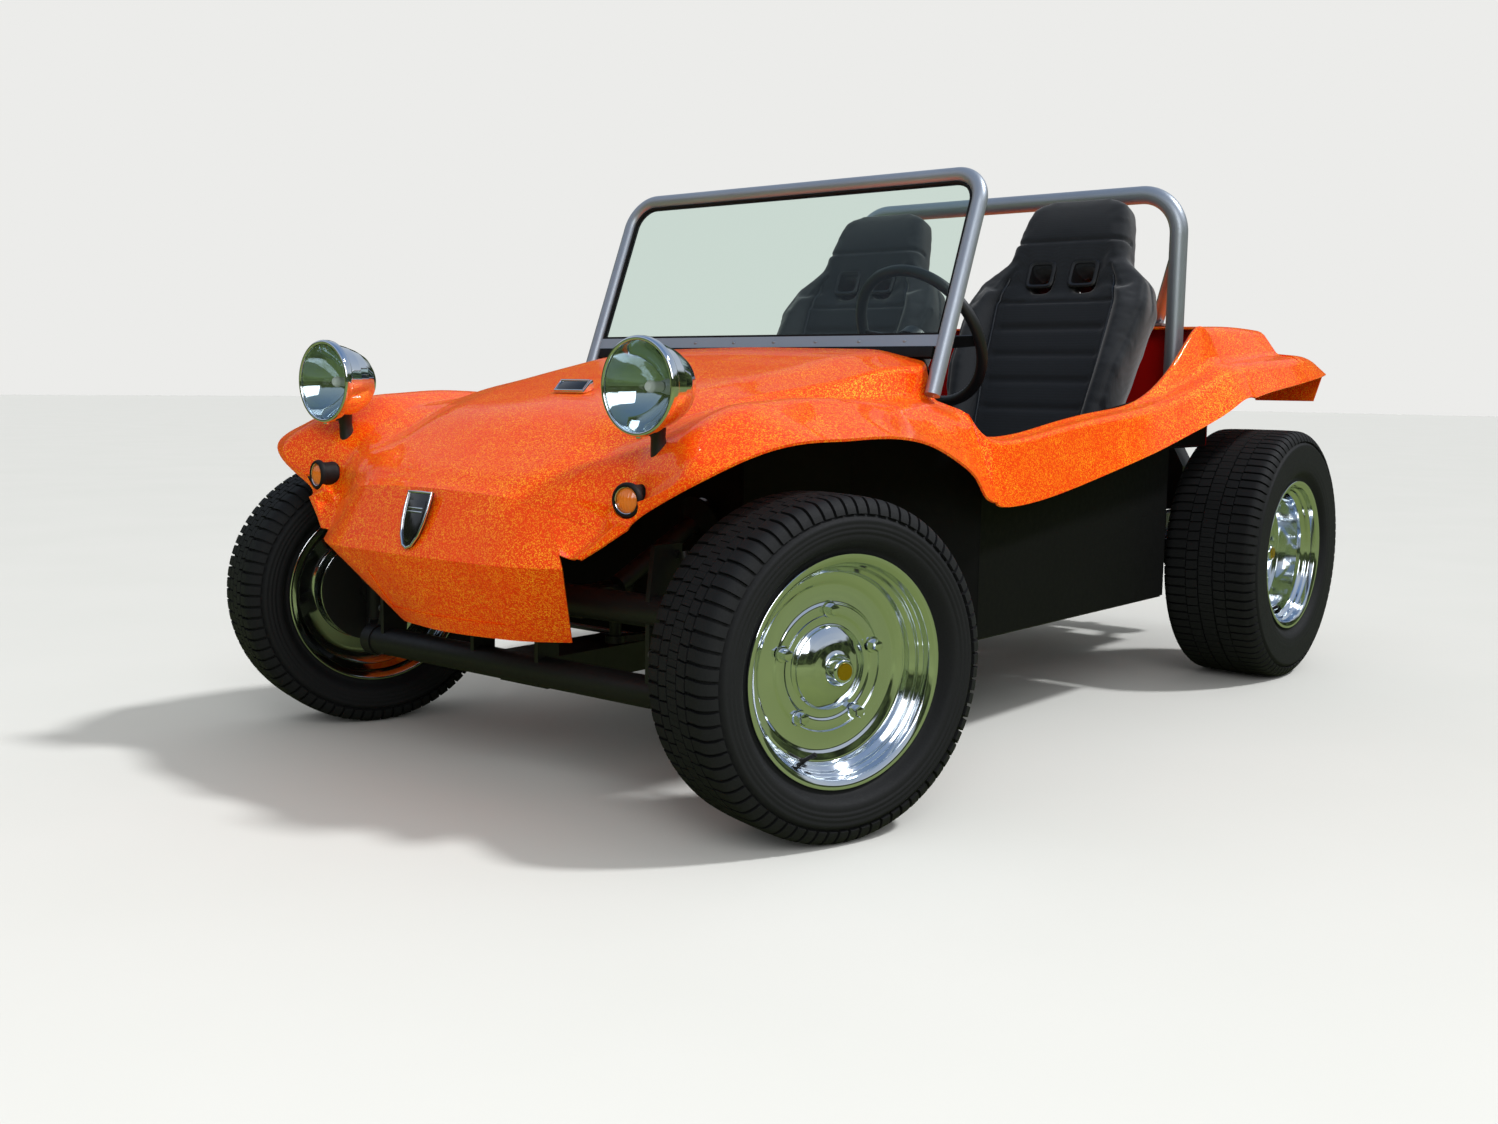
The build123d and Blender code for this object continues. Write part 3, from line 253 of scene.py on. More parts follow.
# The mesh that an object's modifiers make; the object itself goes
def frozen(obj):
    graph = bpy.context.evaluated_depsgraph_get()
    mesh = bpy.data.meshes.new_from_object(obj.evaluated_get(graph), depsgraph=graph)
    bpy.data.objects.remove(obj)
    return mesh


def meshTree(mesh):
    return BVHTree.FromPolygons([v.co for v in mesh.vertices], [p.vertices for p in mesh.polygons])


# A piece rides on a body and takes the look of its slot, unless it has its own
def addMesh(name, mesh, slot, sharp=35, body="chassis", look=None, dressed=False):
    piece = newObject(name, mesh)
    mesh.name = name
    if not dressed:
        mesh.materials.clear()
        mesh.materials.append(look or looks[slot])
    smoothByAngle(piece, sharp)
    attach(piece, body)
    return piece


def addPiece(name, verts, faces, slot, sharp=35, **kind):
    mesh = bpy.data.meshes.new(name)
    mesh.from_pydata([tuple(v) for v in verts], [], faces)
    mesh.validate()
    return addMesh(name, mesh, slot, sharp, **kind)


def recalculated(piece):
    mesh = bmesh.new()
    mesh.from_mesh(piece.data)
    bmesh.ops.remove_doubles(mesh, verts=mesh.verts, dist=1e-6)
    bmesh.ops.recalc_face_normals(mesh, faces=mesh.faces)
    mesh.to_mesh(piece.data)
    mesh.free()
    return piece


# Axes for a piece turned about an axle: out along it, and two directions across
def turnFrame(centre, out):
    out = Vector(out).normalized()
    upward = Vector((0, 0, 1)) if abs(out.z) < 0.9 else Vector((1, 0, 0))
    side = upward.cross(out).normalized()
    return Vector(centre), out, out.cross(side).normalized(), side


def turnPoint(place, along, radius, angle):
    centre, out, upDir, sideDir = place
    return centre + out * along + (upDir * math.cos(angle) + sideDir * math.sin(angle)) * radius


def ringFaces(first, second, steps):
    turned = [(k + 1) % steps for k in range(steps)]
    return [(first + k, first + n, second + n, second + k) for k, n in enumerate(turned)]


# A surface turned about an axle from points of distance along it and radius
def turnedMesh(place, outline, steps, closed):
    verts, faces, rings = [], [], []
    for along, radius in outline:
        count = steps if radius > 1e-6 else 1
        rings.append(range(len(verts), len(verts) + count))
        verts += [turnPoint(place, along, radius, math.tau * k / steps) for k in range(count)]
    for a, b in list(zip(rings, rings[1:])) + ([(rings[-1], rings[0])] if closed else []):
        for k in range(steps):
            n = (k + 1) % steps
            corners = (a[k % len(a)], a[n % len(a)], b[n % len(b)], b[k % len(b)])
            if len(set(corners)) > 2:
                faces.append(tuple(dict.fromkeys(corners)))
    return verts, faces


def turnedPiece(name, place, outline, slot, steps, closed=False, sharp=35, rounded=0, **kind):
    outline = roundedOutline(outline, rounded, closed) if rounded else outline
    verts, faces = turnedMesh(place, outline, steps, closed)
    piece = recalculated(addPiece(name, verts, faces, slot, sharp, **kind))
    smoothByAngle(piece, sharp)
    return piece


# Rounds the corners of an outline with short arcs
def roundedOutline(points, radius, closed=False, steps=3):
    result = []
    count = len(points)
    for i, point in enumerate(points):
        here, before, after = (Vector(points[j % count]) for j in (i, i - 1, i + 1))
        a, b = before - here, after - here
        atEnd = not closed and i in (0, count - 1)
        if atEnd or here.y < 1e-6 or a.length < 1e-6 or b.length < 1e-6:
            result.append(point)
            continue
        reach = min(radius, a.length * 0.45, b.length * 0.45)
        start, end = here + a.normalized() * reach, here + b.normalized() * reach
        for t in (k / steps for k in range(steps + 1)):
            result.append(tuple(start * (1 - t) ** 2 + here * 2 * t * (1 - t) + end * t ** 2))
    return result


# A round tube along points, closed at both ends unless it is a loop
def tubeMesh(points, radius, steps=12, loop=False):
    verts, faces = [], []
    count = len(points)
    points = [Vector(p) for p in points]
    across = None
    for i, point in enumerate(points):
        ahead = points[(i + 1) % count] if loop or i < count - 1 else point
        behind = points[i - 1] if loop or i > 0 else point
        run = (ahead - behind).normalized()
        if across is None:
            across = run.orthogonal().normalized()
        across = (across - run * across.dot(run)).normalized()
        other = run.cross(across)
        r = radius(i / (count - 1)) if callable(radius) else radius
        for k in range(steps):
            turn = math.tau * k / steps
            verts.append(point + (across * math.cos(turn) + other * math.sin(turn)) * r)
    for i in range(count if loop else count - 1):
        faces += ringFaces(i * steps, (i + 1) % count * steps, steps)
    if not loop:
        faces.append(tuple(range(steps))[::-1])
        faces.append(tuple((count - 1) * steps + k for k in range(steps)))
    return verts, faces


def tubePiece(name, points, radius, slot, steps=12, loop=False, **kind):
    verts, faces = tubeMesh(points, radius, steps, loop)
    return addPiece(name, verts, faces, slot, 40, **kind)


# A solid from one flat outline, pushed along a direction, with its corners bevelled
def slabPiece(name, outline, push, slot, bevel=0.0):
    count = len(outline)
    verts = [Vector(p) for p in outline] + [Vector(p) + Vector(push) for p in outline]
    faces = [tuple(range(count)), tuple(range(2 * count - 1, count - 1, -1))]
    faces += [(i, (i + 1) % count, count + (i + 1) % count, count + i) for i in range(count)]
    piece = recalculated(addPiece(name, verts, faces, slot, 30))
    if bevel:
        mesh = bmesh.new()
        mesh.from_mesh(piece.data)
        bmesh.ops.bevel(mesh, geom=mesh.edges[:], offset=bevel, segments=2, affect="EDGES", profile=0.5)
        mesh.to_mesh(piece.data)
        mesh.free()
    smoothByAngle(piece, 30)
    return piece


# Joins pieces into the first one, which keeps its body and slot
def joinPieces(name, pieces):
    mesh = bmesh.new()
    looksSeen = []
    for piece in pieces:
        for material in piece.data.materials:
            if material not in looksSeen:
                looksSeen.append(material)
        places = [looksSeen.index(material) for material in piece.data.materials]
        start = len(mesh.faces)
        mesh.from_mesh(piece.data)
        mesh.faces.ensure_lookup_table()
        for face in mesh.faces[start:]:
            face.material_index = places[face.material_index]
    keep = pieces[0]
    keep.data.materials.clear()
    for material in looksSeen:
        keep.data.materials.append(material)
    mesh.to_mesh(keep.data)
    mesh.free()
    for piece in pieces[1:]:
        bpy.data.objects.remove(piece)
    keep.name = name
    return keep


# Geometry Nodes: a tree's inputs come from a table, and its copies end in one material
def newTree(name, inputs):
    tree = bpy.data.node_groups.new(name, "GeometryNodeTree")
    for label, kind in inputs.items():
        number = isinstance(kind, float)
        socketType = "NodeSocketFloat" if number else "NodeSocket" + kind
        socket = tree.interface.new_socket(label, in_out="INPUT", socket_type=socketType)
        if number:
            socket.default_value = kind
    tree.interface.new_socket("Finish", in_out="INPUT", socket_type="NodeSocketMaterial")
    tree.interface.new_socket("Copies", in_out="OUTPUT", socket_type="NodeSocketGeometry")
    return tree, addNode(tree, "NodeGroupInput").outputs


def endTree(tree, inputs, points):
    copies = addNode(tree, "GeometryNodeInstanceOnPoints", points)
    real = addNode(tree, "GeometryNodeRealizeInstances", {"Geometry": copies})
    done = addNode(tree, "GeometryNodeSetMaterial", {"Geometry": real, "Material": inputs["Finish"]})
    addNode(tree, "NodeGroupOutput", {"Copies": done})
    return tree


def treeMesh(name, mesh, tree, values):
    holder = newObject(name, mesh)
    modifier = holder.modifiers.new("copies", "NODES")
    modifier.node_group = tree
    for item in tree.interface.items_tree:
        if item.in_out == "INPUT" and item.name in values:
            modifier[item.identifier] = values[item.name]
    return frozen(holder)


# A tree that sets a small turned part at each point, out along its own direction
def copiesTree(name, build, sizes):
    tree, inputs = newTree(name, {"Spots": "Geometry", **sizes})
    shape = build(tree, inputs)
    out = addNode(tree, "GeometryNodeInputNamedAttribute", {"Name": "out"}, data_type="FLOAT_VECTOR")
    turn = addNode(tree, "FunctionNodeAlignRotationToVector", {"Vector": out}, axis="Z")
    return endTree(tree, inputs, {"Points": inputs["Spots"], "Instance": shape, "Rotation": turn})


def boltShape(tree, sizes):
    both = addNode(tree, "GeometryNodeJoinGeometry")
    for kind, sides, lift in (("Washer", 20, 0.0), ("Head", 6, 0.001)):
        height = sizes[kind + " Height"]
        size = {"Vertices": sides, "Radius": sizes[kind + " Radius"], "Depth": height}
        solid = addNode(tree, "GeometryNodeMeshCylinder", size)
        rise = addNode(tree, "ShaderNodeMath", {0: height, 1: 0.5, 2: lift}, operation="MULTIPLY_ADD")
        spot = addNode(tree, "ShaderNodeCombineXYZ", {"Z": rise})
        feed(tree, both.inputs[0], addNode(tree, "GeometryNodeTransform", {
            "Geometry": solid, "Translation": spot}))
    return both


def screwShape(tree, sizes):
    size = {"Segments": 14, "Rings": 8, "Radius": sizes["Head Radius"]}
    ball = addNode(tree, "GeometryNodeMeshUVSphere", size)
    flat = addNode(tree, "ShaderNodeCombineXYZ", {"X": 1.0, "Y": 1.0, "Z": sizes["Dome"]})
    return addNode(tree, "GeometryNodeTransform", {"Geometry": ball, "Scale": flat})


boltTree = copiesTree("boltCopies", boltShape, {
    "Washer Radius": 0.011, "Washer Height": 0.0015, "Head Radius": 0.0075, "Head Height": 0.006})
screwTree = copiesTree("screwCopies", screwShape, {"Head Radius": 0.006, "Dome": 0.45})


# Each spot is a place and the way out of the surface there
def setCopies(name, tree, spots, look, slot, sizes, body="chassis"):
    mesh = bpy.data.meshes.new(name + "Spots")
    mesh.from_pydata([tuple(spot) for spot, out in spots], [], [])
    mesh.attributes.new("out", "FLOAT_VECTOR", "POINT")
    for i, (spot, out) in enumerate(spots):
        mesh.attributes["out"].data[i].vector = Vector(out).normalized()
    done = treeMesh(name + "Spots", mesh, tree, {**sizes, "Finish": looks[look]})
    return addMesh(name, done, slot, 30, body, dressed=True)


# Wheels: widths and radii, then the rim's disc, cap, hub and bore along the axle from the tyre's middle
wheels = {
    "front": {"width": 0.205, "radius": 0.303, "rim": 0.165, "pitches": 74,
              "disc": 0.024, "cap": 0.075, "hub": -0.027, "bore": 0.039},
    "rear": {"width": 0.255, "radius": 0.343, "rim": 0.23, "pitches": 84,
             "disc": 0.005, "cap": 0.056, "hub": -0.046, "bore": 0.02},
}
flangeRadius = 0.205
# The ribs' edges are shares of the tread's flat half
tread = {"groove": 0.0075, "fade": 0.03, "slant": 0.35, "gap": 0.24, "shoulder": 0.022,
         "centreRib": 0.17, "innerRib": 0.21, "outerRib": 0.5, "blocks": 0.545}
spinAxes = {joint["name"]: joint["axis"] for joint in frame["record"]["behaviour"]["joints"]}


# Where each wheel stands: the middle of its tyre and the way out along its axle
def wheelPlace(label):
    low, high = (Vector(v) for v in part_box("tyre_" + label))
    axis = Vector(spinAxes["spin_" + label])
    return turnFrame((low + high) / 2, -axis if label.endswith("right") else axis)


def smoothLine(points, perSpan):
    result = []
    last = len(points) - 1
    for i in range(last):
        p0, p1, p2, p3 = (Vector(points[min(max(j, 0), last)]) for j in (i - 1, i, i + 1, i + 2))
        for t in (k / perSpan for k in range(perSpan)):
            bend = (2 * p0 - 5 * p1 + 4 * p2 - p3) * t * t + (3 * p1 - p0 - 3 * p2 + p3) * t ** 3
            result.append(0.5 * ((2 * p1) + (p2 - p0) * t + bend))
    result.append(Vector(points[-1]))
    return result


# Half of the tyre's outside, from the middle of the tread to the bead
def tyreOutline(size):
    wide, half, r, f = size["width"] / 2, size["rim"] / 2, size["radius"], flangeRadius
    return smoothLine([
        (0, r), (wide * 0.3, r), (wide - 0.045, r - 0.0008), (wide - 0.022, r - 0.0035),
        (wide - 0.0075, r - 0.017), (wide - 0.001, r - 0.036), (wide, r - 0.054), (wide - 0.001, f + 0.038),
        (wide - 0.005, f + 0.022), (half - 0.0035, f + 0.009), (half - 0.0068, f + 0.001),
        (half - 0.01, f - 0.0104)], 8)


# The carcass is the outline sunk by the groove's depth under the tread, with fine rings on the wall
def carcassOutline(size):
    line = tyreOutline(size)
    edge = size["radius"] - tread["fade"]
    sunk = []
    for i, point in enumerate(line):
        share = min(1.0, max(0.0, (point.y - edge + 0.008) / 0.01))
        up = point.y - flangeRadius
        wall = 0.0007 * math.sin(up / 0.0045 * math.pi) if 0.032 < up < 0.058 else 0
        run = (line[min(i + 1, len(line) - 1)] - line[max(i - 1, 0)]).normalized()
        sunk.append(point + Vector((-run.y, run.x)) * (wall - tread["groove"] * share))
    return sunk


# One pitch of tread: ribs of blocks with slanted ends, and shoulder blocks that run onto the wall
def pitchMesh(size, name):
    line, inner = tyreOutline(size), carcassOutline(size)
    wide, r = size["width"] / 2, size["radius"]
    flat = wide - tread["shoulder"]
    turn = math.tau / size["pitches"]
    gap, slant = tread["gap"], tread["slant"]
    verts, faces = [], []

    def block(outer, sunk, side, start, end, lean):
        base, count = len(verts), len(outer)
        for track in (outer, sunk):
            for i, point in enumerate(track):
                shift = lean * (outer[i].x - outer[0].x) / wide
                for k in range(3):
                    angle = (start + (end - start) * k / 2 + shift) * turn
                    verts.append((point.y * math.sin(angle), point.x * side, point.y * math.cos(angle)))

        # A face from four corners, each a layer (0 outer, 1 sunk), a point and a step round
        def quad(*corners):
            face = [base + (layer * count + i) * 3 + k for layer, i, k in corners]
            faces.append(face if side > 0 else face[::-1])

        far = count - 1
        for i in range(far):
            for k in range(2):
                quad((0, i, k), (0, i + 1, k), (0, i + 1, k + 1), (0, i, k + 1))
                quad((1, i, k), (1, i, k + 1), (1, i + 1, k + 1), (1, i + 1, k))
            quad((0, i, 0), (1, i, 0), (1, i + 1, 0), (0, i + 1, 0))
            quad((0, i, 2), (0, i + 1, 2), (1, i + 1, 2), (1, i, 2))
        for k in range(2):
            quad((0, 0, k), (0, 0, k + 1), (1, 0, k + 1), (1, 0, k))
            quad((0, far, k), (1, far, k), (1, far, k + 1), (0, far, k + 1))

    def lowered(track):
        return [Vector((p.x, p.y - tread["groove"] - 0.001)) for p in track]

    def between(low, high):
        spots = [(low + (high - low) * t / 3) * flat for t in range(4)]
        near = line[:len(line) // 2]
        return [Vector((x, min(near, key=lambda p: abs(p.x - x)).y)) for x in spots]

    centre = [Vector((share * tread["centreRib"] * flat, r)) for share in (-1, 0, 1)]
    for start, end in ((0.0, 0.45), (0.53, 0.98)):
        block(centre, lowered(centre), 1, start, end, 0.15)
    start = tread["blocks"] * flat
    first = min(range(len(line)), key=lambda i: abs(line[i].x - start) + (line[i].y <= r - 0.01))
    last = max(i for i, p in enumerate(line) if p.y > r - tread["fade"])
    keep = list(range(first, last, 3)) + [last]
    shoulder = [line[i] for i in keep]
    sunk = [inner[i] - Vector((0.0, 0.001 if i != last else 0.0)) for i in keep]
    for side in (1, -1):
        rib = between(tread["innerRib"], tread["outerRib"])
        block(rib, lowered(rib), side, 0.0, 1.0 - gap * 0.6, slant)
        block(shoulder, sunk, side, 0.0, 1.0 - gap, slant * 0.5)
    mesh = bpy.data.meshes.new(name)
    mesh.from_pydata(verts, [], faces)
    return mesh


# Geometry Nodes set the pitch round the wheel
def makeTreadTree():
    tree, inputs = newTree("treadRing", {"Spots": "Geometry", "Pitch": "Object", "Pitches": "Int"})
    points = addNode(tree, "GeometryNodePoints", {"Count": inputs["Pitches"]})
    index = addNode(tree, "GeometryNodeInputIndex")
    share = addNode(tree, "ShaderNodeMath", {0: index, 1: inputs["Pitches"]}, operation="DIVIDE")
    angle = addNode(tree, "ShaderNodeMath", {0: share, 1: math.tau}, operation="MULTIPLY")
    turn = addNode(tree, "ShaderNodeCombineXYZ", {"Y": angle})
    pitch = addNode(tree, "GeometryNodeObjectInfo", {"Object": inputs["Pitch"]}).outputs["Geometry"]
    return endTree(tree, inputs, {"Points": points, "Instance": pitch, "Rotation": turn})


treadTree = makeTreadTree()


def makeTyre(label, size):
    place = wheelPlace(label)
    centre, out, upDir, sideDir = place
    body = "wheel_" + label
    half = carcassOutline(size)
    bead = size["rim"] / 2 - 0.012
    hollow = [(bead - 0.012, flangeRadius - 0.0085), (size["width"] / 2 - 0.016, flangeRadius + 0.035),
              (size["width"] / 2 - 0.022, size["radius"] - 0.02)]
    outline = [(-p.x, p.y) for p in half[::-1]] + [(p.x, p.y) for p in half[1:]]
    outline += hollow + [(-a, r) for a, r in hollow[::-1]]
    carcass = turnedPiece("tyre_body_" + label, place, outline, "tyre_black", 160, True, 50, body=body)
    pitch = newObject("pitch_" + label, pitchMesh(size, "pitch_" + label))
    values = {"Pitch": pitch, "Pitches": size["pitches"], "Finish": looks["tyre_black"]}
    mesh = treeMesh("treadHolder", bpy.data.meshes.new("treadHolder"), treadTree, values)
    bpy.data.objects.remove(pitch)
    mesh.transform(Matrix.Translation(centre) @ Matrix((-sideDir, out, upDir)).transposed().to_4x4())
    blocks = recalculated(addMesh("tyre_tread_" + label, mesh, "tyre_black", 30, body))
    smoothByAngle(blocks, 30)
    tyre = joinPieces("tyre_" + label + "_dressed", [carcass, blocks])
    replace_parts(tyre, "tyre_" + label)


wheelLabels = [(end + "_" + side, size) for end, size in wheels.items() for side, _ in bothSides]
for label, size in wheelLabels:
    makeTyre(label, size)
print("tyres done")

# Chromed steel wheels: deep dish, stepped barrel, five nuts, a cap and a valve
rimNuts = {"pitch": 0.1025, "count": 5, "lift": 0.0022}
rimValve = {"inset": 0.05, "drop": 0.035, "turn": math.radians(200), "lean": (0.55, 0.84)}
# Polished brass: a small warm mirror
brassTip = makePlain("polishedBrass", "#c9a227", "#a8841a", 0.22, metallic=0.9, grain=400, bump=0.02)


def rimOutline(s):
    f, o, h = flangeRadius, s["rim"] / 2, s["hub"]
    i, d, c = -o, s["disc"], s["cap"]
    return [
        (o, f), (o - 0.0055, f + 0.0002), (o - 0.0095, f - 0.0105), (o - 0.024, f - 0.013),
        (o - 0.034, f - 0.028), (i + 0.042, f - 0.028), (i + 0.032, f - 0.013), (i + 0.0095, f - 0.0105),
        (i + 0.0055, f), (i, f), (i, f - 0.005), (i + 0.005, f - 0.017), (i + 0.028, f - 0.0195),
        (i + 0.038, f - 0.033), (d - 0.006, f - 0.033), (d - 0.006, 0.118), (h, 0.117), (h, 0.109),
        (d - 0.012, 0.108), (d - 0.012, 0.042), (h + 0.008, 0.042), (h + 0.008, 0.0162),
        (s["bore"], 0.0162), (s["bore"], 0.0), (c - 0.046, 0.0), (c - 0.046, 0.07), (d, 0.0755), (d, 0.09),
        (d + 0.0025, 0.094), (d + 0.0025, 0.111), (d, 0.115), (d, 0.146), (d + 0.003, 0.152),
        (d + 0.006, 0.163), (o - 0.052, f - 0.037), (o - 0.04, f - 0.035), (o - 0.033, f - 0.026),
        (o - 0.026, f - 0.0245), (o - 0.021, f - 0.0185), (o - 0.006, f - 0.0165), (o - 0.001, f - 0.0075)]


# Distances from the cap's place, and radii
capOutline = [
    (-0.0455, 0.0), (-0.0455, 0.0725), (-0.044, 0.0745), (-0.0405, 0.0735), (-0.034, 0.0625), (-0.029, 0.052),
    (-0.0265, 0.045), (-0.0245, 0.0335), (-0.0215, 0.0275), (-0.0195, 0.0262), (-0.0035, 0.0212),
    (-0.0012, 0.0185), (-0.0012, 0.0)]
tipOutline = [(-0.0013, 0.0), (-0.0013, 0.0155), (0.0008, 0.015), (0.0012, 0.0135), (0.0009, 0.011),
              (0.0009, 0.0)]
nutSeat = [(0.0, 0.0), (0.0, 0.015), (0.0035, 0.0138), (0.004, 0.011), (0.004, 0.0)]
nutOutline = [(0.003, 0.0), (0.003, 0.011), (0.016, 0.011), (0.0185, 0.0092), (0.0195, 0.006),
              (0.0195, 0.0)]
valveOutline = [(0.0, 0.0), (0.0, 0.0065), (0.004, 0.0062), (0.006, 0.0042), (0.026, 0.0036),
                (0.027, 0.0044), (0.036, 0.0044), (0.0375, 0.003), (0.0375, 0.0)]


def makeRim(label, size):
    place = wheelPlace(label)
    centre, out = place[:2]
    body = "wheel_" + label

    def turned(name, spot, outline, steps, slot="rim_chrome", **kind):
        return turnedPiece(name, spot, outline, slot, steps, body=body, **kind)

    def fromCap(outline):
        return [(size["cap"] + along, radius) for along, radius in outline]

    pieces = [turned("barrel", place, rimOutline(size), 144, closed=True, rounded=0.0018),
              turned("cap", place, fromCap(capOutline), 96, rounded=0.002),
              turned("tip", place, fromCap(tipOutline), 48, look=brassTip)]
    for k in range(rimNuts["count"]):
        angle = math.tau * k / rimNuts["count"]
        spot = turnFrame(turnPoint(place, size["disc"] + rimNuts["lift"], rimNuts["pitch"], angle), out)
        pieces.append(turned("seat", spot, nutSeat, 24))
        pieces.append(turned("nut", spot, nutOutline, 6, sharp=20))
    along = size["rim"] / 2 - rimValve["inset"]
    stem = turnPoint(place, along, flangeRadius - rimValve["drop"], rimValve["turn"])
    inwards, outwards = rimValve["lean"]
    lean = ((centre + out * along - stem).normalized() * inwards + out * outwards).normalized()
    pieces.append(turned("valve", turnFrame(stem, lean), valveOutline, 16, slot="black_rubber"))
    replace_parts(joinPieces("rim_" + label + "_dressed", pieces), "rim_" + label)


for label, size in wheelLabels:
    makeRim(label, size)
print("wheels done")


# The corners of a pair of lamps' box and its middle height, from the CAD
def pairBox(node):
    low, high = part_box(node)
    return low, high, (low[2] + high[2]) / 2


# A fluted lens: a shallow dome whose waves run up and down, with a short skirt
def lensPiece(name, place, radius, rise, flutes, slot, steps=120, rings=22, wave=0.0005):
    verts, faces = [], []
    for ring in range(rings + 1):
        r = radius * ring / rings
        for k in range(steps):
            angle = math.tau * k / steps
            across = r * math.sin(angle) / radius
            ripple = wave * math.cos(across * flutes * math.pi / 2) * (1 - (ring / rings) ** 12)
            verts.append(turnPoint(place, rise * (1 - (r / radius) ** 2) + ripple, r, angle))
    for ring in range(1, rings):
        faces += ringFaces(ring * steps, (ring + 1) * steps, steps)
    centre = len(verts)
    verts.append(turnPoint(place, rise + wave, 0, 0))
    faces += [(centre, steps + (k + 1) % steps, steps + k) for k in range(steps)]
    verts += [turnPoint(place, -0.003, radius, math.tau * k / steps) for k in range(steps)]
    faces += ringFaces(rings * steps, centre + 1, steps)
    return recalculated(addPiece(name, verts, faces, slot, 60))


# Headlamps: hollow chrome buckets with a rim ring, bowl, bulb and fluted lens
lampLow, _, lampHeight = pairBox("headlamp_lenses")
lampAt = (lampLow[0] + 0.0057, 0.451, lampHeight)
lamp = {"radius": 0.086, "depth": 0.118, "lens": 0.0773, "rise": 0.0082, "flutes": 46, "footTop": 0.066}
# Frosted glass: a pale, even glow
bulbGlass = makePlain("frostedGlass", "#e8e4d8", "#d9d3c2", 0.1, grain=50, bump=0)


def makeHeadlamp(label, side):
    place = turnFrame((lampAt[0], lampAt[1] * side, lampAt[2]), (1, 0, 0))
    r, d = lamp["radius"], -lamp["depth"]
    shell = [
        (d, 0.0), (d + 0.0015, 0.012), (d + 0.006, 0.026), (d + 0.016, 0.041), (d + 0.032, 0.0575),
        (d + 0.052, 0.0675), (d + 0.075, 0.0745), (-0.02, 0.0792), (-0.015, 0.08), (-0.0145, 0.0835),
        (-0.0125, r - 0.0005), (-0.009, r), (-0.001, r), (0.0022, r - 0.0012), (0.0038, r - 0.004),
        (0.003, r - 0.0075), (0.0005, r - 0.0085), (-0.002, r - 0.0085)]
    bowl = [(-0.002, r - 0.0086), (-0.006, 0.074), (-0.02, 0.0655), (-0.036, 0.052), (-0.048, 0.037),
            (-0.056, 0.022), (-0.059, 0.012), (-0.0595, 0.0)]
    bulb = [(-0.058, 0.0), (-0.058, 0.0095), (-0.04, 0.0095), (-0.036, 0.011), (-0.03, 0.0105),
            (-0.026, 0.0075), (-0.0245, 0.0)]
    clip = [(-0.002, 0.0), (-0.002, 0.0055), (0.0015, 0.0055), (0.003, 0.0035), (0.003, 0.0)]
    clipAt = turnFrame(place[0] + Vector((-0.005, 0, -r - 0.0005)), (0, 0, -1))
    back = place[0] + Vector((-0.05, 0, -lamp["footTop"]))
    stem = ((0, -0.001), (-0.003, -0.022), (-0.006, -0.045), (-0.0085, -0.08))
    foot = [back + Vector((x, 0, z)) for x, z in stem]
    joinPieces("headlamp_" + label, [
        turnedPiece("bucket", place, shell, "lamp_chrome", 112, rounded=0.002),
        turnedPiece("dish", place, bowl, "lamp_chrome", 96),
        turnedPiece("bulb", place, bulb, "lamp_glass", 24, look=bulbGlass),
        turnedPiece("clip", clipAt, clip, "lamp_chrome", 16),
        tubePiece("stem", foot, lambda t: 0.0165 - 0.0035 * math.sin(math.pi * min(1, t * 1.3)),
                  "chassis_black", 28)])
    lensPiece("headlamp_lens_" + label, place, lamp["lens"], lamp["rise"], lamp["flutes"], "lamp_glass")


for label, side in bothSides:
    makeHeadlamp(label, side)
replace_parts(bpy.data.objects["headlamp_left"], "headlamps")
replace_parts(bpy.data.objects["headlamp_lens_left"], "headlamp_lenses")
print("headlamps done")

# Turn signals: rubber cup, chrome bezel and a ribbed amber lens, turned a little outwards
signalLow, signalHigh, signalHeight = pairBox("turn_signal_lenses")
signal = {"radius": 0.0217, "rise": 0.0095, "ribs": 14, "turn": math.radians(9)}
signalAt = (signalLow[0] + 0.0017, signalHigh[1] - signal["radius"], signalHeight)


def makeSignal(label, side):
    out = (math.cos(signal["turn"]), math.sin(signal["turn"]) * side, 0)
    place = turnFrame((signalAt[0], signalAt[1] * side, signalAt[2]), out)
    cup = [(-0.04, 0.0), (-0.04, 0.02), (-0.036, 0.0255), (-0.0062, 0.0258), (-0.006, 0.0306),
           (-0.001, 0.031), (0.003, 0.0298), (0.0058, 0.027), (0.0056, 0.0246), (0.002, 0.0236),
           (-0.0005, 0.0234), (-0.0005, 0.0)]
    ring = [(0.0, 0.0215), (0.0034, 0.0222), (0.004, 0.0231), (0.003, 0.0238), (0.0, 0.0238)]
    joinPieces("turn_signal_" + label, [
        turnedPiece("cup", place, cup, "black_rubber", 64, rounded=0.0012),
        turnedPiece("bezel", place, ring, "lamp_chrome", 64, True)])
    name = "turn_signal_lens_" + label
    lensPiece(name, place, signal["radius"], signal["rise"], signal["ribs"], "amber", 64, 14)


for label, side in bothSides:
    makeSignal(label, side)
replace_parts(bpy.data.objects["turn_signal_left"], "turn_signals")
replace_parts(bpy.data.objects["turn_signal_lens_left"], "turn_signal_lenses")

# Round tail lamps with a chrome ring and ringed red lens
_, tailHigh, tailHeight = pairBox("tail_lamps")
tail = {"radius": 0.044, "lens": 0.0372, "rings": 9}


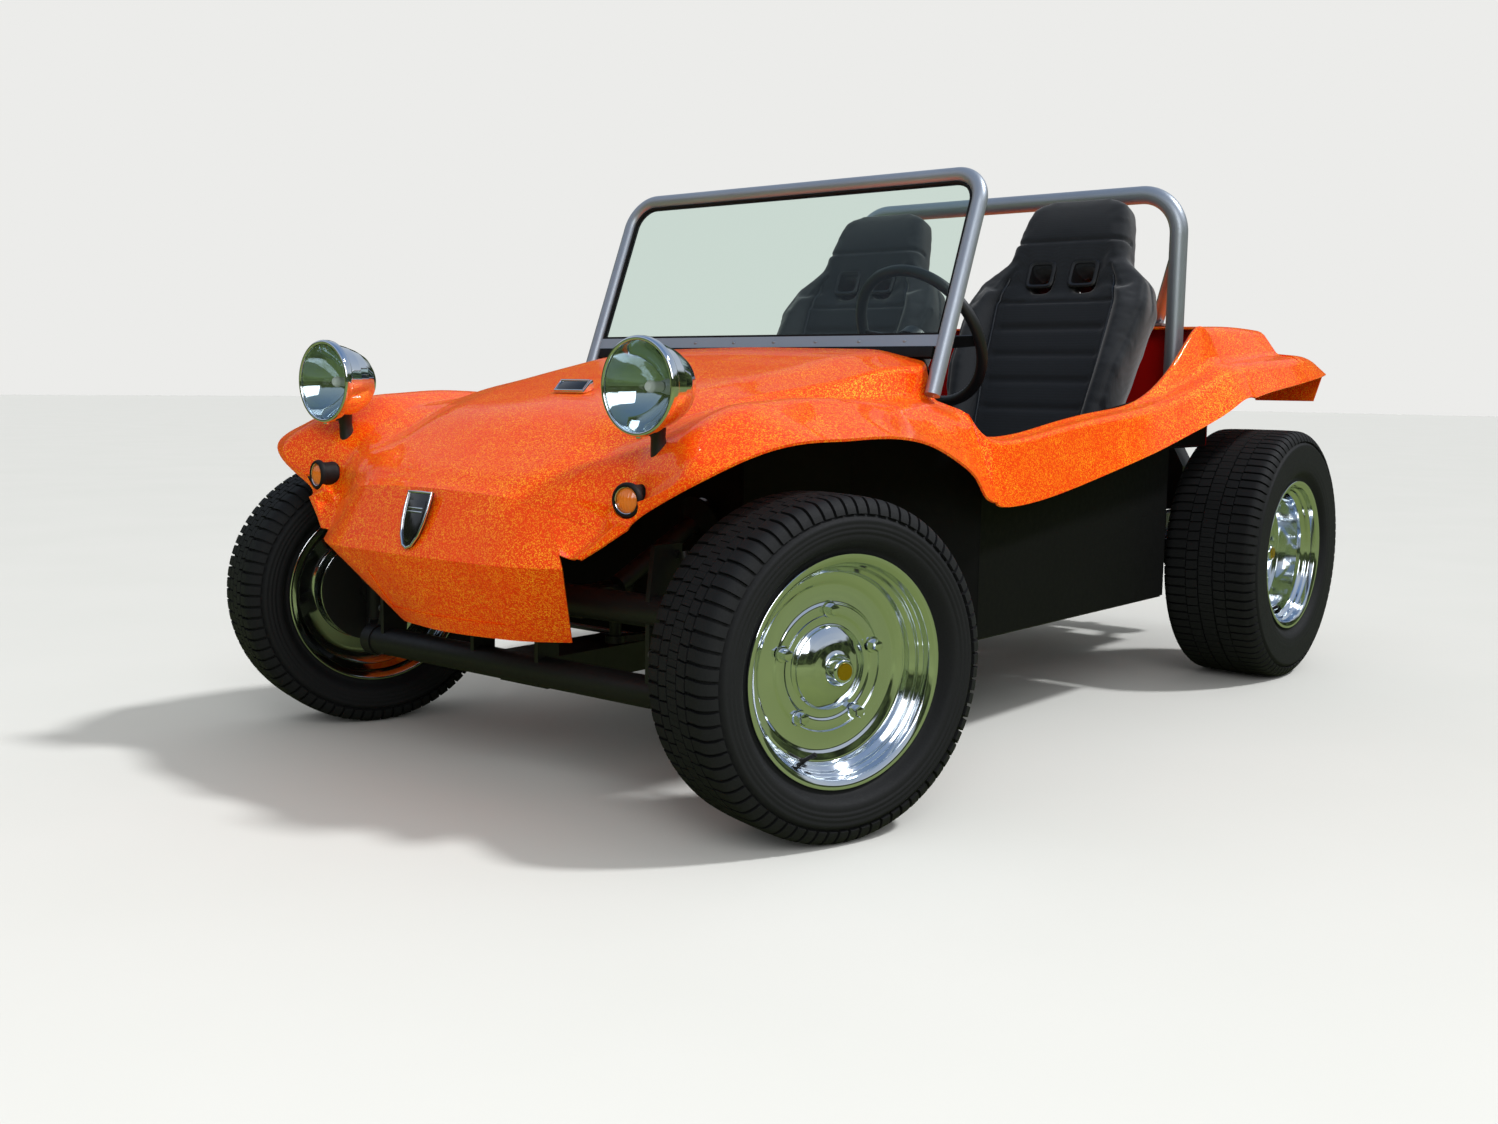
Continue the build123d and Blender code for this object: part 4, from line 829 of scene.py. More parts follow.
def makeTailLamp(label, side):
    place = turnFrame((tailHigh[0], (tailHigh[1] - tail["radius"]) * side, tailHeight), (-1, 0, 0))
    base = [(0.0, 0.0), (0.0, tail["radius"]), (0.0125, tail["radius"]), (0.016, 0.0428), (0.0165, 0.0385),
            (0.0135, 0.0375), (0.012, 0.0)]
    lens = [(0.0125, 0.0), (0.0125, tail["lens"])]
    for k in range(tail["rings"]):
        share = 1 - k / tail["rings"]
        r, rise = tail["lens"] * share, 0.0145 + 0.02 * (1 - share ** 2.2)
        lens += [(rise, r), (rise + 0.0012, r - 0.0012), (rise + 0.0012, r - 0.0028)]
    return joinPieces("tail_lamp_" + label, [
        turnedPiece("ring", place, base, "lamp_chrome", 72, rounded=0.0015),
        turnedPiece("glass", place, lens + [(0.0362, 0.0)], "red_lens", 72, sharp=25)])


tailPieces = [makeTailLamp(label, side) for label, side in bothSides]
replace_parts(tailPieces[0], "tail_lamps")
print("lamps done")


# Bucket seats: the cover is swelled by cloth, then seams and channels are pressed in
seat = {
    "voxel": 0.01, "pressure": 3.6, "frames": 20, "most": 0.014, "stiffness": 25, "bending": 1.2,
    "seamDepth": 0.006, "seamWidth": 0.006, "seamInset": 0.012, "channelDepth": 0.0075, "channelWidth": 0.01,
    "rake": 22.0, "bottom": 0.347, "piping": 0.0032,
    # where panels begin: up the back, out of it, above the floor
    "backFoot": 0.13, "shellOut": 0.045, "cushionTop": 0.42,
    # seams and channels up the back and forward on the cushion
    "padSeam": 0.6, "wingTop": 0.7, "headSeam": 0.775, "channelFade": 0.02,
    "backChannels": (0.3, 0.375, 0.45, 0.525), "cushionChannels": (0.235, 0.3, 0.365, 0.43),
}
seatLow, seatHigh = (Vector(v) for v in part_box("seat_left"))
seatMiddle = (seatLow.y + seatHigh.y) / 2
seatFoot = Vector((-1.335 + frontAxle, seatMiddle, 0.43))  # where the back's line meets the cushion
cushionRear = seatFoot.x - 0.055
rake = math.radians(seat["rake"])
backUp, backOut = Vector((-math.sin(rake), 0, math.cos(rake))), Vector((math.cos(rake), 0, math.sin(rake)))
backShape = [
    # distance up the back, half width, wing width
    (0.0, 0.205, 0.062), (0.18, 0.222, 0.066), (0.4, 0.246, 0.072), (0.59, 0.268, 0.088),
    (0.665, 0.25, 0.086), (0.735, 0.18, 0.052), (0.86, 0.152, 0.044), (0.922, 0.096, 0.03),
]
cushionShape = [
    # distance forward from the cushion's rear end, half width, wing width
    (0.0, 0.222, 0.062), (0.18, 0.238, 0.064), (0.36, 0.248, 0.062), (0.52, 0.232, 0.056),
]
# Coated vinyl cloth, embossed with a pebbled grain of about 1 mm: dark, with a soft shine
seatVinyl = makePlain("embossedVinyl", "#131921", "#0d1117", 0.36, grain=900, bump=0.25, depth=0.0003,
                      coat=0.15)


# Half width and seam distance from the middle, at a distance along one of the two shapes
def widthsAt(shape, along):
    along = min(max(along, shape[0][0]), shape[-1][0])
    for (start, *a), (end, *b) in zip(shape, shape[1:]):
        if along <= end:
            t = (along - start) / (end - start)
            half, wing = (p * (1 - t) + q * t for p, q in zip(a, b))
            return half, half - wing - seat["seamInset"]


# The panel that a point lies on, with the distances along it and away from the seat's middle
def panelAt(point, normal, backLean, cushionLean):
    local = point - seatFoot
    up, across = local.dot(backUp), abs(point.y - seatMiddle)
    if up > seat["backFoot"]:
        if local.dot(backOut) > seat["shellOut"] and normal.dot(backOut) > backLean:
            return backShape, up, across
    elif normal.z > cushionLean and point.z > seat["cushionTop"]:
        return cushionShape, point.x - cushionRear, across
    return None, 0, across


# The cover's start: the CAD seat without its rails, voxel remeshed
def coverStart(node, look):
    mesh = bmesh.new()
    mesh.from_mesh(nodes[node].data)
    bmesh.ops.remove_doubles(mesh, verts=mesh.verts, dist=1e-5)
    bmesh.ops.bisect_plane(mesh, geom=mesh.verts[:] + mesh.edges[:] + mesh.faces[:],
                           plane_co=(0, 0, look["bottom"]), plane_no=(0, 0, -1), clear_outer=True)
    bmesh.ops.holes_fill(mesh, edges=[e for e in mesh.edges if e.is_boundary])
    bmesh.ops.recalc_face_normals(mesh, faces=mesh.faces)
    data = bpy.data.meshes.new("coverStart")
    mesh.to_mesh(data)
    mesh.free()
    holder = newObject("coverStart", data)
    remesh = holder.modifiers.new("remesh", "REMESH")
    remesh.mode = "VOXEL"
    remesh.voxel_size = look["voxel"]
    even = holder.modifiers.new("even", "SMOOTH")
    even.factor = 0.5
    even.iterations = 6
    shrink = holder.modifiers.new("shrink", "DISPLACE")
    shrink.strength = -0.004
    shrink.mid_level = 0
    return frozen(holder)


# Cloth with air pressure inside, held at the bottom; no point moves further than the limit
def swelled(mesh, look):
    holder = newObject("cover", mesh)
    before = [v.co.copy() for v in mesh.vertices]
    held = [v.index for v in mesh.vertices if v.co.z < look["bottom"] + 0.005]
    holder.vertex_groups.new(name="held").add(held, 1.0, "REPLACE")
    cloth = holder.modifiers.new("cloth", "CLOTH")
    cloth.settings.use_pressure = True
    cloth.settings.uniform_pressure_force = look["pressure"]
    cloth.settings.effector_weights.gravity = 0
    cloth.settings.vertex_group_mass = "held"
    cloth.settings.tension_stiffness = look["stiffness"]
    cloth.settings.compression_stiffness = look["stiffness"]
    cloth.settings.bending_stiffness = look["bending"]
    cloth.point_cache.frame_end = look["frames"]
    scene = bpy.context.scene
    for frameNumber in range(1, look["frames"] + 1):
        scene.frame_set(frameNumber)
    done = frozen(holder)
    scene.frame_set(1)
    for v, start in zip(done.vertices, before):
        move = v.co - start
        if move.length > look["most"]:
            v.co = start + move.normalized() * look["most"]
    return done


def dip(distance, width):
    return math.exp(-(distance / width) ** 2)


def subdivided(mesh):
    holder = newObject("cover", mesh)
    holder.modifiers.new("smooth", "SUBSURF").levels = 1
    return frozen(holder)


# Seams run between pad and wings; channels cross the pad
def pressSeams(mesh, look):
    def seamAt(distance):
        return look["seamDepth"] * dip(distance, look["seamWidth"])

    def channelsAt(along, lines):
        return sum(look["channelDepth"] * dip(along - line, look["channelWidth"]) for line in lines)

    moves = []
    for v in mesh.vertices:
        shape, along, across = panelAt(v.co, v.normal, -0.1, 0.1)
        depth = 0.0
        if shape:
            half, seam = widthsAt(shape, along)
        if shape is backShape:
            if along < look["wingTop"]:
                depth += seamAt(across - seam) + 0.6 * seamAt(across - (half - look["seamInset"]))
            if across < seam:
                fade = min(1, (seam - across) / look["channelFade"])
                depth += channelsAt(along, look["backChannels"]) * fade + seamAt(along - look["padSeam"])
            depth += seamAt(along - look["headSeam"])
        elif shape:
            depth += seamAt(across - seam)
            if across < seam:
                depth += channelsAt(along, look["cushionChannels"])
        moves.append(v.normal * -depth)
    for v, move in zip(mesh.vertices, moves):
        v.co += move


# The middle panels take woven cloth, the wings, the head and the shell take vinyl
def splitCover(mesh, look):
    for face in mesh.polygons:
        shape, along, across = panelAt(face.center, face.normal, -0.2, -0.1)
        onPad = shape and across < widthsAt(shape, along)[1]
        onHead = shape is backShape and along >= look["headSeam"]
        face.material_index = 0 if onPad and not onHead else 1


# Piping lies in the seams: a thin tube found on the cover's own surface
def pipingOn(mesh, spots, direction, radius):
    tree = meshTree(mesh)
    hits = [tree.ray_cast(spot - direction * 0.25, direction)[0] for spot in spots]
    track = [hit - direction * radius * 0.3 for hit in hits if hit is not None]
    return [tubeMesh(track, radius, 8)] if len(track) > 3 else []


def pipingMeshes(mesh, look):
    tubes = []
    for side in (-1, 1):
        onBack, onCushion = [], []
        for up in (0.15 + 0.52 * k / 39 for k in range(40)):
            across = Vector((0, side * widthsAt(backShape, up)[1], 0))
            onBack.append(seatFoot + backUp * up + backOut * 0.1 + across)
        for forward in (0.13 + 0.355 * k / 29 for k in range(30)):
            y = seatMiddle + side * widthsAt(cushionShape, forward)[1]
            onCushion.append(Vector((cushionRear + forward, y, 0.55)))
        tubes += pipingOn(mesh, onBack, -backOut, look["piping"])
        tubes += pipingOn(mesh, onCushion, Vector((0, 0, -1)), look["piping"])
    return tubes


# A moulded sleeve through a belt opening, with a rounded flange on the cover
def beltBezel(centre):
    ring = [
        # half width, half height, distance out of the back's line
        (0.0325, 0.0305, -0.05), (0.0325, 0.0305, 0.07), (0.04, 0.038, 0.079), (0.0405, 0.0385, 0.085),
        (0.037, 0.035, 0.0885), (0.031, 0.029, 0.0865), (0.0295, 0.0275, 0.078), (0.0295, 0.0275, -0.05)]
    steps, verts, faces = 48, [], []
    for a, b, lift in ring:
        for k in range(steps):
            c, s = math.cos(math.tau * k / steps), math.sin(math.tau * k / steps)
            across, up = a * math.copysign(abs(c) ** 0.35, c), b * math.copysign(abs(s) ** 0.35, s)
            verts.append(centre + backOut * lift + Vector((0, across, 0)) + backUp * up)
    for i in range(len(ring)):
        faces += ringFaces(i * steps, (i + 1) % len(ring) * steps, steps)
    return recalculated(addPiece("bezel", verts, faces, "dash_black", 40))


# Two runners under the cushion, and the sleeves of the belt openings
seatHardware = {"railY": 0.15, "railHalf": 0.013, "beltY": 0.062, "beltUp": 0.68,
                "railSide": ((-1.355, 0.2553), (-1.345, 0.347), (-0.905, 0.347), (-0.895, 0.2553))}


def makeSeatHardware(label, flip, look):
    pieces = []
    half = look["railHalf"]
    for side in (-1, 1):
        y = (seatMiddle + side * look["railY"]) * flip - half
        outline = [(x + frontAxle, y, z) for x, z in look["railSide"]]
        pieces.append(slabPiece("rail", outline, (0, half * 2, 0), "chassis_black", 0.0015))
    for side in (-1, 1):
        centre = seatFoot + backUp * look["beltUp"] + Vector((0, side * look["beltY"], 0))
        centre.y *= flip
        pieces.append(beltBezel(centre))
    joinPieces("seat_hardware_" + label, pieces)


def makeSeats(look):
    cover = subdivided(swelled(coverStart("seat_left", look), look))
    pressSeams(cover, look)
    splitCover(cover, look)
    tubes = pipingMeshes(cover, look)
    for label, flip in bothSides:
        data = cover.copy()
        if flip < 0:
            data.transform(Matrix.Scale(-1, 4, (0, 1, 0)))
            data.flip_normals()
        data.materials.clear()
        data.materials.append(looks["seat_cloth"])
        data.materials.append(seatVinyl)
        piece = addMesh("seat_cover_" + label, data, "seat_cloth", 180, dressed=True)
        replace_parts(piece, "seat_" + label)
        pipes = []
        for verts, faces in tubes:
            placed = [(v.x, v.y * flip, v.z) for v in verts]
            pipes.append(recalculated(addPiece("pipe", placed, faces, "seat_cloth", 60, look=seatVinyl)))
        joinPieces("seat_piping_" + label, pipes)
        makeSeatHardware(label, flip, seatHardware)


makeSeats(seat)
print("seats done")


# Places are written from the front axle, as the CAD's own sizes are
def at(x, y, z):
    return Vector((x + frontAxle, y, z))


# A place in the plane of the windshield: across, up from the frame's foot, and out of the glass
def onScreen(y, up, off=0.0):
    lean = math.radians(21.78)
    upDir, out = Vector((-math.sin(lean), 0, math.cos(lean))), Vector((math.cos(lean), 0, math.sin(lean)))
    return at(-0.576, y, 0.773) + upDir * up + out * off


def arcPoints(centre, radius, start, end, steps):
    angles = [math.radians(start + (end - start) * k / steps) for k in range(steps + 1)]
    return [(centre[0] + radius * math.cos(a), centre[1] + radius * math.sin(a)) for a in angles]


cowlTrees = [meshTree(nodes[name].data) for name in ("hood", "body_front")]
deckTree = meshTree(nodes["body_rear"].data)


# The cowl's surface straight under the windshield's strip, in the plane of the glass
def cowlUnder(y, up):
    start, down = onScreen(y, up, -0.006), onScreen(0, 0) - onScreen(0, 1)
    hits = [tree.ray_cast(start, down, 0.08) for tree in cowlTrees]
    depths = [hit[3] for hit in hits if hit[0] is not None]
    return start + down * (min(depths) + 0.002 if depths else 0.024)


# Windshield rubber: a bead around the glass on each face, and a lip down to the cowl
glazing = {"half": 0.4985, "low": 0.1375, "top": 0.496, "bend": 0.051, "bead": 0.0036, "off": 0.0034,
           "screws": (0.06, 0.18, 0.3, 0.42)}


def makeGlazing(look):
    half, low, top, bend = (look[k] for k in ("half", "low", "top", "bend"))
    outline = [(-half, low), (half, low)]
    outline += arcPoints((half - bend, top - bend), bend, 0, 90, 8)
    outline += arcPoints((-half + bend, top - bend), bend, 90, 180, 8)
    pieces = []
    for off in (-look["off"], look["off"]):
        track = [onScreen(y, up, off) for y, up in outline]
        pieces.append(tubePiece("bead", track, look["bead"], "black_rubber", 10, True))
    across = [0.4965 * k / 24 for k in range(-24, 25)]
    lip = [onScreen(y, 0.1085, -0.006) for y in across] + [cowlUnder(y, 0.1075) for y in across[::-1]]
    pieces.append(slabPiece("lip", lip, onScreen(0, 0, 0.014) - onScreen(0, 0), "black_rubber", 0.0015))
    joinPieces("windshield_rubber", pieces)
    out = onScreen(0, 0, 1) - onScreen(0, 0)
    spots = [(onScreen(side * y, 0.1215, 0.0072), out) for side in (-1, 1) for y in look["screws"]]
    setCopies("strip_screws", screwTree, spots, "bare_tube", "bare_tube", {"Head Radius": 0.0045})


# Nose badge: a blank black shield in a chrome border, with a raised field and bars
badge = {"border": 0.0026, "tilt": 19.0, "wide": 1.36, "tall": 1.12, "field": 0.72, "thick": 0.0052,
         "bars": (20, 13)}


def makeBadge(look):
    tilt = math.radians(look["tilt"])
    out, upDir = Vector((math.cos(tilt), 0, math.sin(tilt))), Vector((-math.sin(tilt), 0, math.cos(tilt)))
    foot, thick = at(0.3622, 0, 0.533), look["thick"]
    half = [(0, 48), (26, 48), (25.5, 20), (23.5, -4), (18.5, -28), (9.5, -46), (0, -51)]
    shape = [(u * look["wide"], v * look["tall"]) for u, v in half + [(-u, v) for u, v in half[-2:0:-1]]]

    # A place on the badge from millimetres across and up, and metres out
    def spots(points, lift):
        return [foot + Vector((0, u / 1000, 0)) + upDir * (v / 1000) + out * lift for u, v in points]

    edge = spots([(u * 0.955, v * 0.965) for u, v in shape], thick)
    field = spots([(u * look["field"], v * look["field"] - 3) for u, v in shape], thick - 0.0005)
    pieces = [slabPiece("shield", spots(shape, 0.0001), out * thick, "badge_black", 0.0012),
              tubePiece("border", edge, look["border"], "lamp_chrome", 10, True),
              slabPiece("field", field, out * 0.0026, "badge_black", 0.0009)]
    for v in look["bars"]:
        bar = spots([(-21, v + 2), (21, v + 2), (21, v - 1), (-21, v - 1)], thick + 0.0018)
        pieces.append(slabPiece("bar", bar, out * 0.0014, "lamp_chrome", 0.0004))
    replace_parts(joinPieces("nose_badge_dressed", pieces), "nose_badge")


# Hood plate: a chrome wedge that faces forward, with a rounded frame around a dark blank field
hoodPlate = {"half": 0.043, "rim": 0.0022, "sink": 0.0028}


def makeHoodPlate(look):
    out, along = Vector((0.24, 0, 0.97)).normalized(), Vector((0.97, 0, -0.24)).normalized()
    foot, half = at(-0.04, 0, 0.774) - out * look["sink"], Vector((0, look["half"], 0))
    profile = ((0.0165, 0.0), (0.0165, 0.0045), (-0.011, 0.0215), (-0.0165, 0.0205), (-0.0165, 0.0))
    side = [foot + along * u + out * v for u, v in profile]
    low, high = side[1], side[2]
    face = (high - low).cross(Vector((0, 1, 0))).normalized()
    face = face if face.z > 0 else -face

    # Corners on the sloping face, from a share of its width and of its height
    def corners(y, t, lift):
        spots = ((-y, t), (y, t), (y, 1 - t), (-y, 1 - t))
        return [low.lerp(high, up) + half * across + face * lift for across, up in spots]

    wedge = [p - half for p in side]
    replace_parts(joinPieces("hood_plate_dressed", [
        slabPiece("wedge", wedge, half * 2, "lamp_chrome", 0.0012),
        tubePiece("rim", corners(0.95, 0.06, 0.0004), look["rim"], "lamp_chrome", 10, True),
        slabPiece("field", corners(0.86, 0.16, 0.0), face * 0.0012, "badge_black", 0.0004)]), "hood_emblem")


# Dash gauges: two large and three small, with ticks and a needle and no lettering
gauges = [
    # y, z, radius, needle's angle
    (0.297, 0.77, 0.052, 215), (0.15, 0.77, 0.036, 250), (0.05, 0.78, 0.028, 120),
    (-0.045, 0.78, 0.028, 90), (-0.14, 0.775, 0.028, 60),
]


def makeGauges(table):
    pieces, ticks = [], []
    for y, z, r, turn in table:
        place = turnFrame(at(-0.6402, y, z), (-1, 0, 0))
        ring = roundedOutline([(-0.001, r), (0.006, r), (0.0085, r - 0.0025), (0.0075, r - 0.005),
                               (0.0025, r - 0.006)], 0.0012) + [(0.0025, 0.0)]
        face = [(0.0028, 0.0), (0.0028, r - 0.0062), (0.002, r - 0.0062)]
        needle = [turnPoint(place, 0.0042, r * 0.16, math.radians(turn + 180)),
                  turnPoint(place, 0.0042, r * 0.68, math.radians(turn))]
        hub = [(0.0028, 0.004), (0.0062, 0.003), (0.0062, 0.0)]
        pieces += [turnedPiece("ring", place, ring, "lamp_chrome", 64),
                   turnedPiece("face", place, face, "badge_black", 48),
                   tubePiece("needle", needle, 0.0008, "amber", 6),
                   turnedPiece("hub", place, hub, "badge_black", 16)]
        for k in range(13):
            angle = math.radians(-135 + 22.5 * k)
            inner = r * (0.66 if k % 3 == 0 else 0.7)
            line = [turnPoint(place, 0.003, reach, angle) for reach in (r * 0.76, inner)]
            ticks.append(tubePiece("tick", line, 0.0006, "lamp_chrome", 5))
    joinPieces("dash_gauges", pieces + ticks)


# Steering wheel: a laced rim, a hub ring with six screws and a plain horn button
steeringWheel = {"radius": 0.17, "rim": 0.0134, "laces": 90, "thread": 0.0007, "screws": 6}
steeringCentre = at(-0.865, 0.297, 0.905)
columnDown = (at(0.025, 0.19, 0.398) - steeringCentre).normalized()
# Twisted waxed thread: dark grey and dull
laceThread = makePlain("waxedThread", "#3a3c40", "#24262a", 0.6, grain=400, bump=0.1)


def makeWheelTrim(look):
    place = turnFrame(steeringCentre, -columnDown)
    body, rim = "steering_wheel", look["rim"]
    laces = []
    for k in range(look["laces"]):
        angle = math.tau * k / look["laces"]
        ring = []
        for j in range(5):
            bend = math.radians(118 + 22 * j)
            lean = angle + 0.012 * (j - 2) / 2
            ring.append(turnPoint(place, rim * math.sin(bend), look["radius"] + rim * math.cos(bend), lean))
        laces.append(tubePiece("lace", ring, look["thread"], "wheel_black", 5, body=body, look=laceThread))
    joinPieces("steering_wheel_laces", laces)
    button = [(-0.02, 0.0), (-0.02, 0.033), (-0.0165, 0.034), (-0.012, 0.031), (-0.0085, 0.022),
              (-0.007, 0.01), (-0.0068, 0.0)]
    turnedPiece("horn_button", place, button, "wheel_black", 56, body=body, look=looks["badge_black"])
    angles = [math.tau * (k + 0.5) / look["screws"] for k in range(look["screws"])]
    spots = [(turnPoint(place, -0.018, 0.0365, angle), -columnDown) for angle in angles]
    size = {"Head Radius": 0.0028}
    setCopies("steering_wheel_screws", screwTree, spots, "lamp_chrome", "wheel_black", size, body)


# Rubber collar where the steering column goes through the front wall, ahead of the wheel's middle
columnCollar = {"ahead": 0.675, "outline": [
    (-0.004, 0.0195), (-0.004, 0.046), (0.004, 0.05), (0.008, 0.044), (0.016, 0.034), (0.024, 0.026),
    (0.03, 0.0195)]}


def makeColumnCollar(look):
    place = turnFrame(steeringCentre + columnDown * (look["ahead"] / columnDown.x), columnDown)
    turnedPiece("column_collar", place, look["outline"], "black_rubber", 40, True, 50)


# Chrome line along the red side panels, and button studs below it
liningTrim = {"y": 0.5906, "line": 0.0034, "stud": 0.006, "studs": 9, "studPitch": 0.095, "studZ": 0.33,
              "track": [(-0.72, 0.64), (-0.9, 0.652), (-1.15, 0.68), (-1.35, 0.705), (-1.461, 0.738),
                        (-1.56, 0.786), (-1.672, 0.858), (-1.8, 0.868)]}


def makeLiningTrim(look):
    pieces, studs = [], []
    for side in (-1, 1):
        track = smoothLine([at(x, side * look["y"], z) for x, z in look["track"]], 6)
        pieces.append(tubePiece("line", track, look["line"], "lamp_chrome", 8))
        for k in range(look["studs"]):
            spot = at(-0.76 - look["studPitch"] * k, side * (look["y"] + 0.0005), look["studZ"])
            studs.append((spot, (0, -side, 0)))
    joinPieces("lining_chrome_line", pieces)
    size = {"Head Radius": look["stud"]}
    setCopies("lining_studs", screwTree, studs, "lamp_chrome", "lamp_chrome", size)


# A red closing strip between the cockpit's rear wall and the deck above it
deckSeal = {"x": -1.8505, "half": 0.592, "foot": 0.94, "top": 0.966, "thick": 0.0035}


def makeDeckSeal(look):
    x, half, foot, thick = look["x"], look["half"], look["foot"], look["thick"]
    top = []
    for y in (half * k / 20 for k in range(-20, 21)):
        hit = deckTree.ray_cast(at(x + thick, y, foot - 0.01), Vector((0, 0, 1)), 0.09)[0]
        top.append(at(x, y, (look["top"] if hit is None else hit.z) + 0.001))
    outline = [at(x, half, foot), at(x, -half, foot)] + top
    slabPiece("deck_seal", outline, (thick, 0, 0), "red_lining")


# Painted joint between the rear deck and the two tails
deckJoint = {"front": -2.1995, "back": -2.2066, "half": 0.7425, "deep": 0.01, "lowest": 0.824}


def makeDeckJoint(look):
    rows = [look["half"] * k / 60 for k in range(-60, 61)]
    hits = [(y, deckTree.ray_cast(at(-2.198, y, 1.02), Vector((0, 0, -1)), 0.25)[0]) for y in rows]
    top = [(y, hit.z - 0.0006) for y, hit in hits if hit is not None]
    low = [(y, max(z - look["deep"], look["lowest"])) for y, z in top[::-1]]
    outline = [at(look["front"], y, z) for y, z in top + low]
    slabPiece("deck_joint", outline, (look["back"] - look["front"], 0, 0), "orange")


# Bolts of the bar and stay feet (place and half the spacing), the beam plates and the tail plates
bodyBolts = {
    "feet": ((-1.77, 0.523, 0.6503, 0.038, 0.034), (-1.96, 0.385, 0.9786, 0.035, 0.029)),
    "beamX": 0.148, "beamY": (0.1002, 0.3952), "beamZ": (0.215, 0.303, 0.391),
    "tailX": -2.4396, "tailPlate": ((0.525, 0.872), (0.655, 0.86), (0.53, 0.775), (0.655, 0.777))}


def makeBodyBolts(look):
    bars, plates = [], []
    for side in (-1, 1):
        for x, y, z, dx, dy in look["feet"]:
            bars += [(at(x + a * dx, side * y + b * dy, z), (0, 0, 1)) for a in (-1, 1) for b in (-1, 1)]
        for y in look["beamY"]:
            plates += [(at(look["beamX"], y * side, z), (0, side, 0)) for z in look["beamZ"]]
        plates += [(at(look["tailX"], side * y, z), (-1, 0, 0)) for y, z in look["tailPlate"]]
    setCopies("bar_bolts", boltTree, bars, "bare_tube", "bare_tube",
              {"Head Radius": 0.0065, "Head Height": 0.005, "Washer Radius": 0.0085})
    setCopies("plate_bolts", boltTree, plates, "steel_rod", "chassis_black",
              {"Head Radius": 0.006, "Head Height": 0.004, "Washer Radius": 0.0078})


# Engine: pulleys and belt, head bolts, shroud bolts, boots on the axle tubes
engineAt = {"crankZ": 0.343, "crankDrop": 0.008, "generatorZ": 0.655, "pulleyX": -2.5003, "beltX": -2.5105,
            "lowPulley": 0.084, "highPulley": 0.044, "belt": 0.0052, "boltRows": (-2.245, -2.305, -2.37)}


def pulleyOutline(radius):
    return [(-0.001, 0.0), (-0.001, radius), (0.002, radius), (0.0075, radius - 0.01),
            (0.0115, radius - 0.01), (0.017, radius), (0.02, radius), (0.02, radius * 0.55),
            (0.016, radius * 0.5), (0.016, 0.0)]


# The belt runs in the pulleys' grooves, round the lower one and over the upper one
def beltLoop(low, lowRadius, high, highRadius, x):
    lean = math.asin((lowRadius - highRadius) / (high - low))
    turns = ((low, lowRadius, math.pi - lean, math.tau + lean), (high, highRadius, lean, math.pi - lean))
    track = []
    for centre, radius, start, end in turns:
        for angle in (start + (end - start) * k / 32 for k in range(33)):
            track.append(at(x, math.cos(angle) * radius, centre + math.sin(angle) * radius))
    return track


def makeEngineTrim(look):
    crankZ, lowZ, highZ = look["crankZ"], look["crankZ"] - look["crankDrop"], look["generatorZ"]
    crank, upper = (turnFrame(at(look["pulleyX"], 0, z), (-1, 0, 0)) for z in (lowZ, highZ))
    parts = []
    for place, radius, steps in ((crank, look["lowPulley"], 72), (upper, look["highPulley"], 48)):
        outline = pulleyOutline(radius)
        parts.append(turnedPiece("pulley", place, outline, "cast_case", steps, look=looks["steel_rod"]))
    for place, radius in ((upper, 0.013), (crank, 0.018)):
        nut = [(0.016, 0.0), (0.016, radius), (0.026, radius), (0.026, 0.0)]
        parts.append(turnedPiece("nut", place, nut, "cast_case", 6, sharp=20, look=looks["steel_rod"]))
    joinPieces("engine_pulleys", parts)
    track = beltLoop(lowZ, look["lowPulley"] - 0.0075, highZ, look["highPulley"] - 0.0075, look["beltX"])
    tubePiece("engine_belt", track, look["belt"], "black_rubber", 8, True)
    spots = []
    for side in (-1, 1):
        for x in look["boltRows"]:
            spots += [(at(x, side * 0.3752, crankZ + dz), (0, side, 0)) for dz in (-0.028, 0.008)]
        for y, z in ((0.315, 0.52), (0.315, 0.59), (0.13, 0.7)):
            spots.append((at(-2.3705, side * y, z), (-1, 0, 0)))
    setCopies("engine_bolts", boltTree, spots, "steel_rod", "cast_case",
              {"Head Radius": 0.0055, "Head Height": 0.0045, "Washer Radius": 0.0075})
    outline = [(0.0, 0.036), (0.0, 0.074)]
    for k in range(5):
        start = 0.012 + 0.022 * k
        outline += [(start, 0.074 - 0.0062 * k), (start + 0.011, 0.058 - 0.0042 * k)]
    outline += [(0.124, 0.044), (0.138, 0.044), (0.138, 0.0345)]
    boots = []
    for side in (-1, 1):
        place = turnFrame(at(-2.032, side * 0.1605, crankZ), (0, side, 0))
        boots.append(turnedPiece("boot", place, outline, "black_rubber", 64, rounded=0.003))
    joinPieces("axle_boots", boots)


# Shift boot, hand brake grip and ribbed rubbers on the pedals
controls = {
    "bootAt": (-0.762, 0, 0.4202), "pedals": (0.165, 0.235, 0.305), "ribs": 6, "ribPitch": 0.012,
    "gripFrom": (-1.105, 0, 0.4727), "gripTo": (-1.19, 0, 0.4995), "grip": 0.014, "gripWave": 0.0012,
    "boot": [(0.0, 0.052), (0.004, 0.056), (0.012, 0.046), (0.018, 0.05), (0.026, 0.038), (0.032, 0.041),
             (0.044, 0.026), (0.05, 0.028), (0.064, 0.014), (0.066, 0.009)]}


